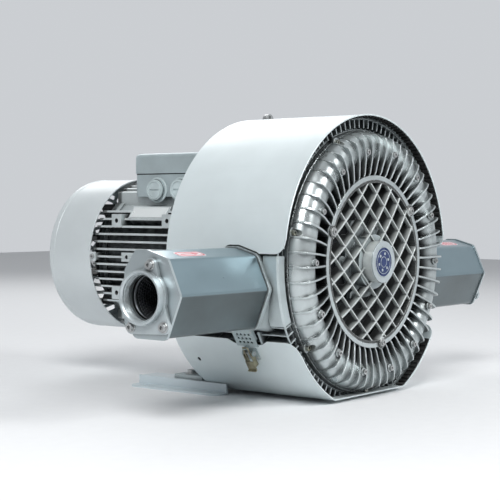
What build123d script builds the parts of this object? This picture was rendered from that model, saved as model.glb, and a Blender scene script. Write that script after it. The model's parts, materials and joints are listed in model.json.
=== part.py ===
"""Two-stage side channel blower with twin silencers and a flange-mounted motor.

Part frame: +Z up, +X to the right seen from the cover side, the cover faces -Y.
The origin is on the floor, at the centre of the four foot holes.

Every piece is drawn in the shaft frame, whose Y axis is the shaft and whose y = 0 is
the plane of the front cover's rim, and moves to the part frame when it is written.
"""
import math
import os

from build123d import *

# ---------------------------------------------------------------- driving dimensions (mm)
SHAFT_HEIGHT = 250.0         # floor to shaft axis
FOOT_CENTRE_Y = 320.0        # cover rim plane to the centre of the foot holes
SEAT = 0.3                   # running or assembly gap where pieces only rest on each other

# front cover
RIM_RADIUS = 240.0
RIM_LIP = 10.0               # rim plane back to the joint with the middle housing
RING_OUTER = 158.0           # bright machined ring round the grille
RING_INNER = 150.0
RING_FRONT = -23.0
CHANNEL_RADIUS = 208.0       # mean radius of the side channel
CHANNEL_BORE = 24.0          # radius of the channel's half-round section
CHANNEL_WALL = 6.0
CHANNEL_Y = 2.0              # plane where the half-round channel starts
COVER_FLOOR = 8.0            # front face of the floor between ring and channel
COVER_WALL = 6.0
RIB_COUNT = 56
RIB_WIDTH = 3.2
RIB_REACH = 6.0              # rib height above the channel's crest
RIB_SHOULDER = 228.0         # radius where each rib turns back to the rim
RIB_SHOULDER_DROP = 3.0
COVER_SCREW_COUNT = 14
COVER_SCREW_RADIUS = 203.0
COVER_SCREW_START = 76.0
COVER_BOSS_RADIUS = 7.5
COVER_SCREW_SHANK = 3.0
COVER_SCREW_HEAD = 5.0
COVER_SCREW_LENGTH = 5.0
RIM_SCREW_COUNT = 7
RIM_SCREW_START = 12.0
RIM_SCREW_CIRCLE = 236.0
RIM_SCREW_RADIUS = 3.0
RIM_SCREW_HEAD = 5.0
RIM_SCREW_LENGTH = 26.0
RIM_LUG_RADIUS = 9.0
RIM_LUG_FRONT = -3.0
RIB_DEPTH_LIMIT = 40.0        # depth cleared in front of each rim lug
RIB_TURN = 0.9               # first rib's angle
COVER_SCREW_HEIGHT = 4.5
COVER_POCKET_DEPTH = 20.0    # depth cleared in front of each cover screw
HEAD_ROOM = 1.0              # room round a sunk screw head

# grille, hub and front bearing
GRILLE_BORDER = 4.5
GRILLE_GAP = 0.5
GRILLE_DEPTH = 15.0          # border ring
VANE_DEPTH = 26.0
VANE_CLEARANCE = 6.0         # vanes to the bearing flange's screws
GRILLE_PITCH = 35.0
VANE_THICKNESS = 3.0
VANE_ANGLE = 41.0
VANE_CURVE = 560.0           # radius that each deep vane is bent to
VANE_OFFSET = 14.5
BAR_THICKNESS = 2.2
BAR_DEPTH = 7.0
BAR_ANGLE = -42.0
BAR_OFFSET = -9.0
GRILLE_SCREW_CIRCLE = 151.0
GRILLE_SCREW_START = 38.0
GRILLE_SCREW_COUNT = 3
GRILLE_EAR_RADIUS = 10.5
GRILLE_EAR_THICKNESS = 3.0
GRILLE_EAR_HOLE = 2.8
GRILLE_SCREW_SHANK = 2.5
GRILLE_SCREW_HEAD = 5.0
GRILLE_SCREW_HEIGHT = 4.0
GRILLE_SCREW_LENGTH = 12.0
SMALL_TAPPING = 2.6          # tapped hole for the grille's and the flange's screws
HUB_RADIUS = 38.0
HUB_WALL = 4.0
HUB_FRONT = -38.0
HUB_CAP_THICKNESS = 3.0
BADGE_RADIUS = 28.5
BADGE_THICKNESS = 1.2
FLANGE_RADIUS = 66.0
FLANGE_THICKNESS = 8.0
FLANGE_LOBES = 6
FLANGE_LOBE_CIRCLE = 74.0
FLANGE_LOBE_RADIUS = 12.0
FLANGE_BOSS_RADIUS = 50.0
FLANGE_BOSS_FRONT = -20.0
FLANGE_SCREW_HEAD = 4.8
FLANGE_SCREW_HEIGHT = 4.5
FLANGE_SCREW_LENGTH = 11.0
FRONT_BEARING_RADIUS = 40.0
FRONT_BEARING_WIDTH = 18.0
FRONT_BEARING_Y = -12.0
FRONT_JOURNAL_RADIUS = 20.0

# housings and impellers
DRUM_RADIUS = 243.0
CHAMBER_RADIUS = 232.0
STAGE_JOINT_Y = 165.0        # middle housing meets rear housing
DRUM_BACK_Y = 245.0
FIN_COUNT = 104
FIN_ROOT_WIDTH = 3.2
FIN_TIP_WIDTH = 2.2
FIN_TIP_RADIUS = 262.0
FIN_FRONT_Y = 4.0
TIP_RING_RADIUS = 263.5      # thin ring that joins the fins at the front
TIP_RING_WIDTH = 2.5
WRAP_RING_WIDTH = 5.0
WRAP_RING_Y = 60.0           # ring that carries the wrap on the middle housing
PARTITION_WALL = 8.0
PARTITION_HUB = 36.0
IMPELLER_RADIUS = 231.0
IMPELLER_WIDTH = 34.0
IMPELLER_WEB = 9.4
IMPELLER_RIM_INNER = 185.0
IMPELLER_RIM_WALL = 4.0
IMPELLER_CORE = 5.0
IMPELLER_BLADES = 36
BLADE_THICKNESS = 3.0
IMPELLER_HUB_RADIUS = 32.0
IMPELLER_GAP = 0.6
BELL_RADIUS = 126.0
BELL_WALL = 8.0
BELL_BACK_Y = 262.0
SEAL_RADIUS = 34.0
SEAL_WIDTH = 8.0
HUB_STEP_FRONT = 3.0         # impeller hub past its web, in front and behind
HUB_STEP_BACK = 6.0
TRANSFER_RADIUS = 14.0       # holes from the port chambers into the side channels
TRANSFER_PLACE = 0.95        # their place across, as a share of the channel's radius
SPOKE_COUNT = 6
SPOKE_START = 30.0
SPOKE_HALF_WIDTH = 4.0

# wrap round the drum
WRAP_RADIUS = 269.5
WRAP_SHEET = 1.5
WRAP_FRONT_Y = -14.0
WRAP_UPPER_BACK_Y = 250.0
WRAP_LOWER_BACK_Y = 262.0
WRAP_FLAT_Z = -243.0
WRAP_UPPER_EDGE_Z = 20.0
WRAP_LOWER_EDGE_Z = -133.0
WRAP_CORNER = 22.0

# silencers and ports (mirrored about the shaft plane)
SILENCER_Y = 85.0
SILENCER_Z = -44.0
SILENCER_FRONT = 68.0        # port axis to the front edge
SILENCER_REAR = 46.0         # port axis to the rear side
SILENCER_TOP = 73.0
SILENCER_BOTTOM = 64.0
SILENCER_SHOULDER = 61.0     # height of the corner between front and top
SILENCER_CORNER = 9.0
SILENCER_WALL = 3.0
SILENCER_ROOT_X = 274.0
SILENCER_LENGTH = 221.0
NECK_FLANGE = 8.0
NECK_LIP = 3.0
NECK_INSET = 2.0
NECK_INNER_X = 205.0
NECK_FAIRING = 44.0          # length over which the neck widens to the drum
NECK_TAPER = 14.0
NECK_FAIRING_DEPTH = 24.0    # how far the fairing reaches behind the front edge
NECK_FIN_GAP = 9.0
WRAP_NECK_GAP = 2.5
GASKET_THICKNESS = 2.0
END_PLATE_THICKNESS = 5.0
END_PLATE_LIP = 2.5
DUCT_RADIUS = 36.3
PORT_BORE = 37.6             # G 2 1/2 thread
PORT_RING_RADIUS = 43.5
PORT_CHAMFER = 2.5
PORT_FLANGE_THICKNESS = 7.0
PORT_RING_DEPTH = 18.0
PORT_BOSS_RADIUS = 11.0
PORT_BOSS_PLACES = ((-14.0, 52.0), (27.0, -48.0), (-42.0, -45.0))
PORT_SCREW_RADIUS = 4.0      # hole for each port screw
PORT_SCREW_SHANK = 3.8
PORT_SCREW_HEAD = 6.5
PORT_SCREW_HEIGHT = 6.0
TUBE_RADIUS = 36.0
TUBE_WALL = 1.5
TUBE_SETBACK = 9.0           # tube end behind the port flange
FOAM_GAP = 1.0

# motor
FRAME_RADIUS = 128.0
FRAME_BORE = 118.0
FRAME_FIN_RADIUS = 150.0
FRAME_FIN_PITCH = 15.0
FRAME_FIN_THICKNESS = 4.0
FRAME_BACK_Y = 545.0
SHIELD_BACK_Y = 556.0
SHIELD_RADIUS = 132.0
FIN_OVERHANG = 9.0           # frame fins past the joint with the end shield
CORE_START_Y = 320.0
CORE_LENGTH = 160.0
STATOR_BORE = 78.0
AIR_GAP = 1.0
WINDING_LENGTH = 28.0
WINDING_INNER = 84.0
WINDING_OUTER = 112.0
SHAFT_RADIUS = 27.0
DRIVE_BEARING_RADIUS = 50.0
DRIVE_BEARING_WIDTH = 25.0
DRIVE_BEARING_Y = 218.0
REAR_JOURNAL_RADIUS = 20.0
REAR_BEARING_RADIUS = 40.0
REAR_BEARING_WIDTH = 18.0
RUNNING_FIT = 0.05
FAN_RADIUS = 120.0
FAN_BLADES = 9
FAN_WIDTH = 38.0
FAN_START_Y = 582.0
FAN_COVER_RADIUS = 156.5
FAN_COVER_SHEET = 2.0
FAN_COVER_BACK_Y = 683.0
FAN_COVER_ROUND = 16.0
FAN_COVER_SLOTS = (30.0, 46.0, 62.0, 78.0, 94.0, 110.0, 126.0)
FAN_COVER_SLOT_WIDTH = 9.0
FAN_COVER_BRIDGES = (22.5, 67.5, 112.5, 157.5)
FAN_HUB_RADIUS = 34.0
FAN_DISC_THICKNESS = 4.0
FAN_BLADE_HALF = 2.0
FAN_COVER_EARS = 4
FAN_COVER_HOLE = 2.6
FAN_SCREW_SHANK = 2.4
FAN_SCREW_HEAD = 5.0
FAN_SCREW_HEIGHT = 3.5
FAN_SCREW_LENGTH = 9.0
COVER_EAR_LENGTH = 15.0
COVER_EAR_WIDTH = 18.0
COVER_EAR_SCREW = 7.5        # cover's front edge to the screw
PAD_SIZE = 26.0
PAD_REACH = 149.0
PAD_HEIGHT = 72.0
PAD_BACK_Y = 497.0
PAD_FRONT_Y = 363.0
PAD_HOLE_RADIUS = 4.5
LUG_HALF_LENGTH = 30.0
LUG_HALF_HEIGHT = 9.0
LUG_HOLE_RADIUS = 4.0
LUG_HOLE_OFFSET = 16.0
BOX_SEAT_HALF_WIDTH = 50.0   # seat of the terminal box on the frame
BOX_SEAT_MARGIN = 30.0
LUG_Y = 446.0
NAMEPLATE_ANGLE = 144.0
NAMEPLATE_LENGTH = 92.0
NAMEPLATE_WIDTH = 24.0
NAMEPLATE_Y = 426.0

# terminal box
BOX_HALF_WIDTH = 92.0
BOX_START_Y = 300.0
BOX_LENGTH = 195.0
BOX_BOTTOM_Z = 100.0
BOX_TOP_Z = 164.0
BOX_WALL = 5.0
BOX_CORNER = 14.0
LID_TOP_Z = 206.0
LID_LIP = 2.0
LID_ROUND = 9.0
LID_GASKET = 2.0
LID_SCREW_INSET = 11.0
LID_POST_RADIUS = 7.0
LID_TAPPING = 2.5
LID_HOLE = 2.8
LID_SCREW_SHANK = 2.4
LID_SCREW_HEAD = 5.0
LID_SCREW_HEIGHT = 4.5
LID_RECESS_RADIUS = 6.0
LID_RECESS_DEPTH = 4.0
ENTRY_BOSS_LENGTH = 6.0
ENTRY_WALL = 5.0
PLUG_HEAD_LENGTH = 5.0
PLUG_SLOT_HALF_LENGTH = 12.0
PLUG_SLOT_HALF_WIDTH = 1.5
BLOCK_HALF_WIDTH = 32.0
BLOCK_HALF_LENGTH = 42.0
BLOCK_HEIGHT = 16.0
STUD_RADIUS = 2.5
STUD_LENGTH = 14.0
STUD_PITCH = 16.0
STUD_ROW = 18.0
ENTRY_RADIUS = 21.5
ENTRY_Z = 133.0
ENTRY_PLACES_Y = (368.0, 431.0)

# feet
RAIL_FRONT_Y = 210.0
RAIL_LENGTH = 220.0
RAIL_WEB_X = 146.0
RAIL_OUTER_X = 176.0
RAIL_INNER_X = 100.0
RAIL_SHEET = 4.0
RAIL_HEIGHT = 20.0
RAIL_TOP_FRONT_Y = 272.0
RAIL_CORNER = 14.0
FOOT_HOLE_RADIUS = 7.0
FOOT_HOLE_X = 161.0
FOOT_HOLE_PITCH = 160.0
LEG_X = 90.0
LEG_THICKNESS = 12.0
LEG_PAD_THICKNESS = 8.0
LEG_PAD_START_Y = 276.0
LEG_PAD_LENGTH = 69.0
LEG_SCREW_X = 118.0
LEG_SCREW_Y = 320.0
LEG_SHOULDER_Z = -130.0
LEG_BOLT_RADIUS = 4.0
LEG_BOLT_HOLE = 4.2
LEG_BOLT_HEAD = 7.5
LEG_BOLT_HEIGHT = 8.0
LEG_NUT_HEIGHT = 6.5

# lifting eye
EYE_Y = 225.0
EYE_BOSS_RADIUS = 12.0
EYE_WIDTH = 24.0
EYE_THICKNESS = 9.0
EYE_TOP = 280.0
EYE_HOLE = 3.5
EYE_HOLE_DROP = 6.5          # hole centre below the eye's top
EYE_COLLAR = 2.5
EYE_STUD_RADIUS = 3.8
EYE_STUD_HOLE = 4.0
EYE_STUD_LENGTH = 18.0

# toggle latches (drawn flat: u down along the wrap, v along the shaft, w outwards)
LATCH_ANGLE = 214.4          # pivot's place round the drum, left side
LATCH_Y = 92.0
LATCH_PIVOT_HEIGHT = 7.0
LATCH_PIN_RADIUS = 2.0
LATCH_BASE_LENGTH = 25.0
LATCH_BASE_WIDTH = 29.0
LATCH_BASE_SHIFT = 6.0
LATCH_EAR_RADIUS = 5.5
LATCH_SHEET = 1.5
LATCH_SIDE_GAP = 1.0
LEVER_LENGTH = 33.0
LEVER_WIDTH = 18.0
LEVER_EYE_RADIUS = 4.5
LEVER_DEPTH = 7.0            # lever back above the pivot
LEVER_LIP = 5.0
BAIL_OFFSET = 7.0            # bail eye beyond the pivot when closed
BAIL_RISE = 4.0
BAIL_WIRE = 1.2
BAIL_REACH = 22.0
KEEPER_LENGTH = 41.0
KEEPER_TAB = 18.0
KEEPER_WIDTH = 46.0
KEEPER_HEIGHT = 1.5
KEEPER_LIP = 2.5              # lip height above the bail's wire
KEEPER_HOLE_RADIUS = 2.4
KEEPER_HOLE_PITCH = 8.5
KEEPER_HOLE_ROWS = 3
KEEPER_HOLE_COLUMNS = 4
PIN_HEAD = 1.5               # pin head's height and overhang
LATCH_NOTCH_DEPTH = 7.0

# ---------------------------------------------------------------- derived places
TO_PART_FRAME = Pos(0, -FOOT_CENTRE_Y, SHAFT_HEIGHT)
COVER_BACK = COVER_FLOOR + COVER_WALL
IMPELLER_FRONT = CHANNEL_Y + IMPELLER_GAP
IMPELLER_BACK = IMPELLER_FRONT + IMPELLER_WIDTH - 2 * IMPELLER_GAP
STAGE_DEPTH = IMPELLER_BACK + IMPELLER_GAP
MIDDLE_Y = (RIM_LIP + STAGE_JOINT_Y) / 2
WEB_FRONT = COVER_BACK + IMPELLER_GAP
WEB_BACK = WEB_FRONT + IMPELLER_WEB
PARTITION_FRONT = WEB_BACK + IMPELLER_GAP
CHANNEL_INNER = CHANNEL_RADIUS - CHANNEL_BORE
CHANNEL_OUTER = CHANNEL_RADIUS + CHANNEL_BORE
CHANNEL_SHELL = CHANNEL_BORE + CHANNEL_WALL
COVER_BOSS_FRONT = CHANNEL_Y - CHANNEL_SHELL - RIB_REACH / 2
CASTING_FLAT_Z = WRAP_FLAT_Z + WRAP_SHEET + SEAT
SILENCER_END_X = SILENCER_ROOT_X + SILENCER_LENGTH
PLATE_END_X = SILENCER_END_X + END_PLATE_THICKNESS
FLOOR_Z = -SHAFT_HEIGHT
RAIL_TOP_Z = FLOOR_Z + RAIL_HEIGHT
GRILLE_RADIUS = RING_INNER - GRILLE_GAP
REAR_BEARING_Y = SHIELD_BACK_Y - REAR_BEARING_WIDTH - 6.0
FOOT_SLOPE = math.sqrt(0.5)
FIN_INNER_RADIUS = RIM_SCREW_CIRCLE + RIM_LUG_RADIUS + SEAT
EYE_HOLE_Z = EYE_TOP - EYE_HOLE_DROP
HOOK_U = BAIL_OFFSET - BAIL_REACH
BAIL_HALF_WIDTH = LEVER_WIDTH / 2 - LATCH_SHEET - BAIL_WIRE - LATCH_SIDE_GAP
LATCH_NOTCH_Z = WRAP_LOWER_EDGE_Z - LATCH_NOTCH_DEPTH


# ---------------------------------------------------------------- helpers
def along_y(radius, start, end, x=0.0, z=0.0):
    """Round bar parallel to the shaft."""
    plane = Plane(origin=(x, start, z), x_dir=(1, 0, 0), z_dir=(0, 1, 0))
    return extrude(plane * Circle(radius), end - start)


def along_x(radius, start, end, y=0.0, z=0.0):
    """Round bar across the shaft."""
    plane = Plane(origin=(start, y, z), x_dir=(0, 1, 0), z_dir=(1, 0, 0))
    return extrude(plane * Circle(radius), end - start)


def along_z(radius, start, end, x=0.0, y=0.0):
    """Upright round bar."""
    return Pos(x, y, start) * extrude(Circle(radius), end - start)


def block(x0, x1, y0, y1, z0, z1):
    """Box from its limits."""
    return Pos((x0 + x1) / 2, (y0 + y1) / 2, (z0 + z1) / 2) * Box(abs(x1 - x0), abs(y1 - y0), abs(z1 - z0))


def tube_y(outer, inner, start, end):
    """Ring or tube on the shaft axis."""
    return along_y(outer, start, end) - along_y(inner, start - 1, end + 1)


def turned(lines):
    """Solid of revolution about the shaft from closed lines drawn as (radius, y)."""
    return revolve(make_face(lines), Axis.Y)


def turned_polygon(points):
    """Solid of revolution about the shaft from corner points (radius, y)."""
    return turned(Polyline(*points, close=True))


def section_yz(points, x0, x1):
    """Plate across the shaft from corner points (y, z)."""
    plane = Plane(origin=(x0, 0, 0), x_dir=(0, 1, 0), z_dir=(1, 0, 0))
    return extrude(plane * make_face(Polyline(*points, close=True)), x1 - x0)


def section_xz(sketch, start, end):
    """Prism along the shaft from a sketch drawn with z as its second coordinate."""
    plane = Plane(origin=(0, end, 0), x_dir=(1, 0, 0), z_dir=(0, -1, 0))
    return extrude(plane * sketch, end - start)


def round_shaft(angle):
    """Turns a piece about the shaft; angles count from +X towards +Z."""
    return Rot(0, -angle, 0)


def on_circle(radius, angle):
    """The x and z of a point round the shaft."""
    return radius * math.cos(math.radians(angle)), radius * math.sin(math.radians(angle))


def spread(count, start=0.0):
    """Evenly spaced angles."""
    return [start + 360.0 * step / count for step in range(count)]


def mirrored(piece):
    """The right-hand twin of a left-hand piece."""
    return mirror(piece, Plane.YZ)


def cap_screw(radius, head_radius, head_height, length):
    """Socket head screw, head up from z = 0, shank down."""
    head = extrude(Circle(head_radius), head_height)
    socket = Pos(0, 0, head_height * 0.45) * extrude(RegularPolygon(head_radius * 0.52, 6), head_height)
    shank = Pos(0, 0, -length) * extrude(Circle(radius), length)
    return head - socket + shank


def front_screw(radius, head_radius, head_height, length, x, y, z):
    """Cap screw whose head faces -Y and seats at y."""
    return Pos(x, y, z) * Rot(90, 0, 0) * cap_screw(radius, head_radius, head_height, length)


def save(name, *pieces):
    """Writes one node, as one solid or as a group of separate solids."""
    solids = [solid for piece in pieces for solid in piece.solids()]
    moved = [TO_PART_FRAME * solid for solid in solids]
    shape = moved[0] if len(moved) == 1 else Compound(children=moved)
    export_step(shape, f"parts/{name}.step")


# ---------------------------------------------------------------- front cover
def channel_lines(y_plane, direction, radius):
    """Half-round channel line bulging along direction."""
    return ThreePointArc(
        (CHANNEL_RADIUS + radius, y_plane),
        (CHANNEL_RADIUS, y_plane + direction * radius),
        (CHANNEL_RADIUS - radius, y_plane),
    )


def cover_shell():
    """Turned body of the cover: rim, channel, valley, ring and recessed centre."""
    outer_arc = channel_lines(CHANNEL_Y, -1, CHANNEL_SHELL)
    inner_arc = channel_lines(CHANNEL_Y, -1, CHANNEL_BORE)
    outer_start, outer_end = outer_arc @ 0, outer_arc @ 1
    inner_start, inner_end = inner_arc @ 0, inner_arc @ 1
    front = Polyline(
        outer_end,
        (outer_end.X, COVER_FLOOR),
        (RING_OUTER, COVER_FLOOR),
        (RING_OUTER, RING_FRONT),
        (RING_INNER, RING_FRONT),
        (RING_INNER, COVER_FLOOR),
        (FRONT_BEARING_RADIUS + 1, COVER_FLOOR),
        (FRONT_BEARING_RADIUS + 1, COVER_BACK),
        (inner_end.X, COVER_BACK),
        inner_end,
    )
    rim = Polyline(
        inner_start,
        (inner_start.X, RIM_LIP),
        (RIM_RADIUS, RIM_LIP),
        (RIM_RADIUS, 0),
        outer_start,
    )
    return turned([outer_arc, front, inner_arc, rim])


def cover_rib():
    """One radial rib from the ring over the channel to the rim."""
    crest = CHANNEL_Y - CHANNEL_SHELL - RIB_REACH
    foot = CHANNEL_BORE + CHANNEL_WALL / 3
    rib = Polyline(
        (RING_OUTER - 2, RING_FRONT + 2),
        (RING_OUTER + 6, RING_FRONT - 2),
        (CHANNEL_RADIUS - 16, crest + 2),
        (CHANNEL_RADIUS + 4, crest),
        (RIB_SHOULDER - 6, crest + 1),
        (RIB_SHOULDER, crest + RIB_SHOULDER_DROP),
        (RIB_SHOULDER + 5, crest + 12),
        (RIM_RADIUS - 2, -7),
        (RIM_RADIUS - 1, 2),
        (CHANNEL_OUTER + 2, CHANNEL_Y + 4),
        (CHANNEL_OUTER + 2, CHANNEL_Y),
        (CHANNEL_RADIUS + foot * FOOT_SLOPE, CHANNEL_Y - foot * FOOT_SLOPE),
        (CHANNEL_RADIUS, CHANNEL_Y - foot),
        (CHANNEL_RADIUS - foot * FOOT_SLOPE, CHANNEL_Y - foot * FOOT_SLOPE),
        (CHANNEL_INNER - 3, CHANNEL_Y),
        (CHANNEL_INNER - 3, COVER_FLOOR + 2),
        (RING_OUTER - 2, COVER_FLOOR + 2),
        close=True,
    )
    return extrude(make_face(rib), RIB_WIDTH / 2, both=True)


def channel_space():
    """Half-round channel and the impeller's room in the cover."""
    arc = channel_lines(CHANNEL_Y, -1, CHANNEL_BORE)
    start, end = arc @ 0, arc @ 1
    room = Polyline(end, (end.X, RIM_LIP + 1), (start.X, RIM_LIP + 1), start)
    return turned([arc, room])


def flatten_bottom(piece):
    """The castings are cut level under the drum, clear of the wrap's flat."""
    reach = 2 * WRAP_RADIUS
    return piece - block(-reach, reach, -reach, reach * 2, CASTING_FLAT_Z - reach, CASTING_FLAT_Z)


def front_cover():
    body = cover_shell()
    rib = cover_rib()
    body += [round_shaft(angle) * rib for angle in spread(RIB_COUNT, RIB_TURN)]
    bosses = []
    holes = []
    for angle in spread(RIM_SCREW_COUNT, RIM_SCREW_START):
        x, z = on_circle(RIM_SCREW_CIRCLE, angle)
        bosses.append(along_y(RIM_LUG_RADIUS, RIM_LUG_FRONT, RIM_LIP, x, z))
        holes.append(along_y(RIM_SCREW_RADIUS + SEAT, RIM_LUG_FRONT - 1, RIM_LIP + 1, x, z))
        pocket_front = RIM_LUG_FRONT - RIB_DEPTH_LIMIT
        holes.append(along_y(RIM_SCREW_HEAD + HEAD_ROOM, pocket_front, RIM_LUG_FRONT, x, z))
    for angle in spread(COVER_SCREW_COUNT, COVER_SCREW_START):
        x, z = on_circle(COVER_SCREW_RADIUS, angle)
        bosses.append(along_y(COVER_BOSS_RADIUS, COVER_BOSS_FRONT, CHANNEL_Y - CHANNEL_BORE - 2, x, z))
        pocket_front = COVER_BOSS_FRONT - COVER_POCKET_DEPTH
        hole_back = COVER_BOSS_FRONT + COVER_SCREW_LENGTH
        holes.append(along_y(COVER_SCREW_HEAD + HEAD_ROOM, pocket_front, COVER_BOSS_FRONT, x, z))
        holes.append(along_y(COVER_SCREW_SHANK, COVER_BOSS_FRONT - 1, hole_back, x, z))
    for angle in spread(GRILLE_SCREW_COUNT, GRILLE_SCREW_START):
        x, z = on_circle(RING_OUTER - 4, angle)
        bosses.append(along_y(GRILLE_EAR_RADIUS, RING_FRONT, COVER_FLOOR + 1, x, z))
    body += bosses
    holes.append(channel_space())
    holes.append(along_y(RING_INNER, RING_FRONT - 1, COVER_FLOOR))
    for angle in spread(GRILLE_SCREW_COUNT, GRILLE_SCREW_START):
        x, z = on_circle(GRILLE_SCREW_CIRCLE, angle)
        holes.append(along_y(SMALL_TAPPING, RING_FRONT - 1, RING_FRONT + GRILLE_SCREW_LENGTH, x, z))
        holes.append(along_y(GRILLE_EAR_RADIUS + 1, RING_FRONT - 30, RING_FRONT, x, z))
    for angle in spread(FLANGE_LOBES, 0):
        x, z = on_circle(FLANGE_LOBE_CIRCLE, angle)
        holes.append(along_y(SMALL_TAPPING, COVER_FLOOR - 1, COVER_FLOOR + 5, x, z))
    return flatten_bottom(body - holes)


def cover_screws():
    screws = []
    for angle in spread(COVER_SCREW_COUNT, COVER_SCREW_START):
        x, z = on_circle(COVER_SCREW_RADIUS, angle)
        screw = front_screw(
            COVER_SCREW_SHANK,
            COVER_SCREW_HEAD,
            COVER_SCREW_HEIGHT,
            COVER_SCREW_LENGTH,
            x,
            COVER_BOSS_FRONT,
            z,
        )
        screws.append(screw)
    return screws


def rim_screws():
    screws = []
    for angle in spread(RIM_SCREW_COUNT, RIM_SCREW_START):
        x, z = on_circle(RIM_SCREW_CIRCLE, angle)
        screw = front_screw(
            RIM_SCREW_RADIUS, RIM_SCREW_HEAD, RIM_SCREW_HEAD, RIM_SCREW_LENGTH, x, RIM_LUG_FRONT, z
        )
        screws.append(screw)
    return screws


# ---------------------------------------------------------------- grille and hub
def grille_vanes():
    """Deep bent vanes running up to the right, as a sketch."""
    tangent = math.radians(VANE_ANGLE)
    normal = (-math.sin(tangent), math.cos(tangent))
    vanes = []
    for step in range(-4, 4):
        distance = VANE_OFFSET + GRILLE_PITCH * step + VANE_CURVE
        ring = Circle(VANE_CURVE + VANE_THICKNESS / 2) - Circle(VANE_CURVE - VANE_THICKNESS / 2)
        vanes.append((Pos(distance * normal[0], distance * normal[1]) * ring) & Circle(GRILLE_RADIUS - 1))
    return vanes


def grille_bars():
    """Shallow straight bars running down to the right, as a sketch."""
    bars = []
    for step in range(-4, 5):
        distance = BAR_OFFSET + GRILLE_PITCH * step
        bar = Rot(0, 0, BAR_ANGLE) * Pos(0, distance) * Rectangle(2 * RING_INNER, BAR_THICKNESS)
        bars.append(bar & Circle(GRILLE_RADIUS - 1))
    return bars


def front_grille():
    back = RING_FRONT + GRILLE_DEPTH
    body = tube_y(GRILLE_RADIUS, GRILLE_RADIUS - GRILLE_BORDER, RING_FRONT, back)
    vane_back = RING_FRONT + VANE_DEPTH
    body += [section_xz(vane, RING_FRONT, vane_back) for vane in grille_vanes()]
    body += [section_xz(bar, RING_FRONT, RING_FRONT + BAR_DEPTH) for bar in grille_bars()]
    hub_back = FLANGE_BOSS_FRONT - SEAT
    flange_reach = FLANGE_LOBE_CIRCLE + FLANGE_LOBE_RADIUS + VANE_CLEARANCE / 2
    flange_front = COVER_FLOOR - FLANGE_THICKNESS - VANE_CLEARANCE
    body -= along_y(HUB_RADIUS - 1, RING_FRONT - 1, vane_back + 1)
    body -= along_y(FLANGE_BOSS_RADIUS + 2, hub_back, vane_back + 1)
    body -= along_y(flange_reach, flange_front, vane_back + 1)
    body += tube_y(HUB_RADIUS, HUB_RADIUS - HUB_WALL, HUB_FRONT, hub_back)
    for angle in spread(GRILLE_SCREW_COUNT, GRILLE_SCREW_START):
        x, z = on_circle(GRILLE_SCREW_CIRCLE, angle)
        ear = along_y(GRILLE_EAR_RADIUS, RING_FRONT - GRILLE_EAR_THICKNESS, RING_FRONT, x, z)
        body = body + ear - along_y(GRILLE_EAR_HOLE, RING_FRONT - 10, vane_back + 1, x, z)
    return body


def grille_screws():
    screws = []
    for angle in spread(GRILLE_SCREW_COUNT, GRILLE_SCREW_START):
        x, z = on_circle(GRILLE_SCREW_CIRCLE, angle)
        seat = RING_FRONT - GRILLE_EAR_THICKNESS
        screw = front_screw(
            GRILLE_SCREW_SHANK,
            GRILLE_SCREW_HEAD,
            GRILLE_SCREW_HEIGHT,
            GRILLE_SCREW_LENGTH,
            x,
            seat,
            z,
        )
        screws.append(screw)
    return screws


def hub_cap():
    front = HUB_FRONT - HUB_CAP_THICKNESS
    cap = along_y(HUB_RADIUS, front, HUB_FRONT)
    spigot = along_y(HUB_RADIUS - HUB_WALL - SEAT, HUB_FRONT, HUB_FRONT + 5)
    recess = along_y(BADGE_RADIUS, front, front + BADGE_THICKNESS)
    return cap + spigot - recess


def hub_badge():
    front = HUB_FRONT - HUB_CAP_THICKNESS
    return along_y(BADGE_RADIUS - 0.2, front, front + BADGE_THICKNESS)


def front_bearing_flange():
    seat = COVER_FLOOR
    places = [on_circle(FLANGE_LOBE_CIRCLE, angle) for angle in spread(FLANGE_LOBES)]
    sketch = Circle(FLANGE_RADIUS) + [Pos(*place) * Circle(FLANGE_LOBE_RADIUS) for place in places]
    body = section_xz(sketch, seat - FLANGE_THICKNESS, seat)
    body += along_y(FLANGE_BOSS_RADIUS, FLANGE_BOSS_FRONT, seat)
    body -= along_y(FRONT_BEARING_RADIUS, FRONT_BEARING_Y - SEAT, seat + 1)
    front = seat - FLANGE_THICKNESS - 1
    return body - [along_y(SMALL_TAPPING, front, seat + 1, *place) for place in places]


def flange_screws():
    seat = COVER_FLOOR - FLANGE_THICKNESS
    screws = []
    for angle in spread(FLANGE_LOBES):
        x, z = on_circle(FLANGE_LOBE_CIRCLE, angle)
        screw = front_screw(
            GRILLE_SCREW_SHANK,
            FLANGE_SCREW_HEAD,
            FLANGE_SCREW_HEIGHT,
            FLANGE_SCREW_LENGTH,
            x,
            seat,
            z,
        )
        screws.append(screw)
    return screws


# ---------------------------------------------------------------- housings
def finned_outline():
    """Drum outline with its fins, drawn in x and z."""
    points = []
    for angle in spread(FIN_COUNT):
        root = math.degrees(FIN_ROOT_WIDTH / 2 / DRUM_RADIUS)
        tip = math.degrees(FIN_TIP_WIDTH / 2 / FIN_TIP_RADIUS)
        points.append(on_circle(DRUM_RADIUS, angle - root))
        points.append(on_circle(FIN_TIP_RADIUS, angle - tip))
        points.append(on_circle(FIN_TIP_RADIUS, angle + tip))
        points.append(on_circle(DRUM_RADIUS, angle + root))
    return make_face(Polyline(*points, close=True))


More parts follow.
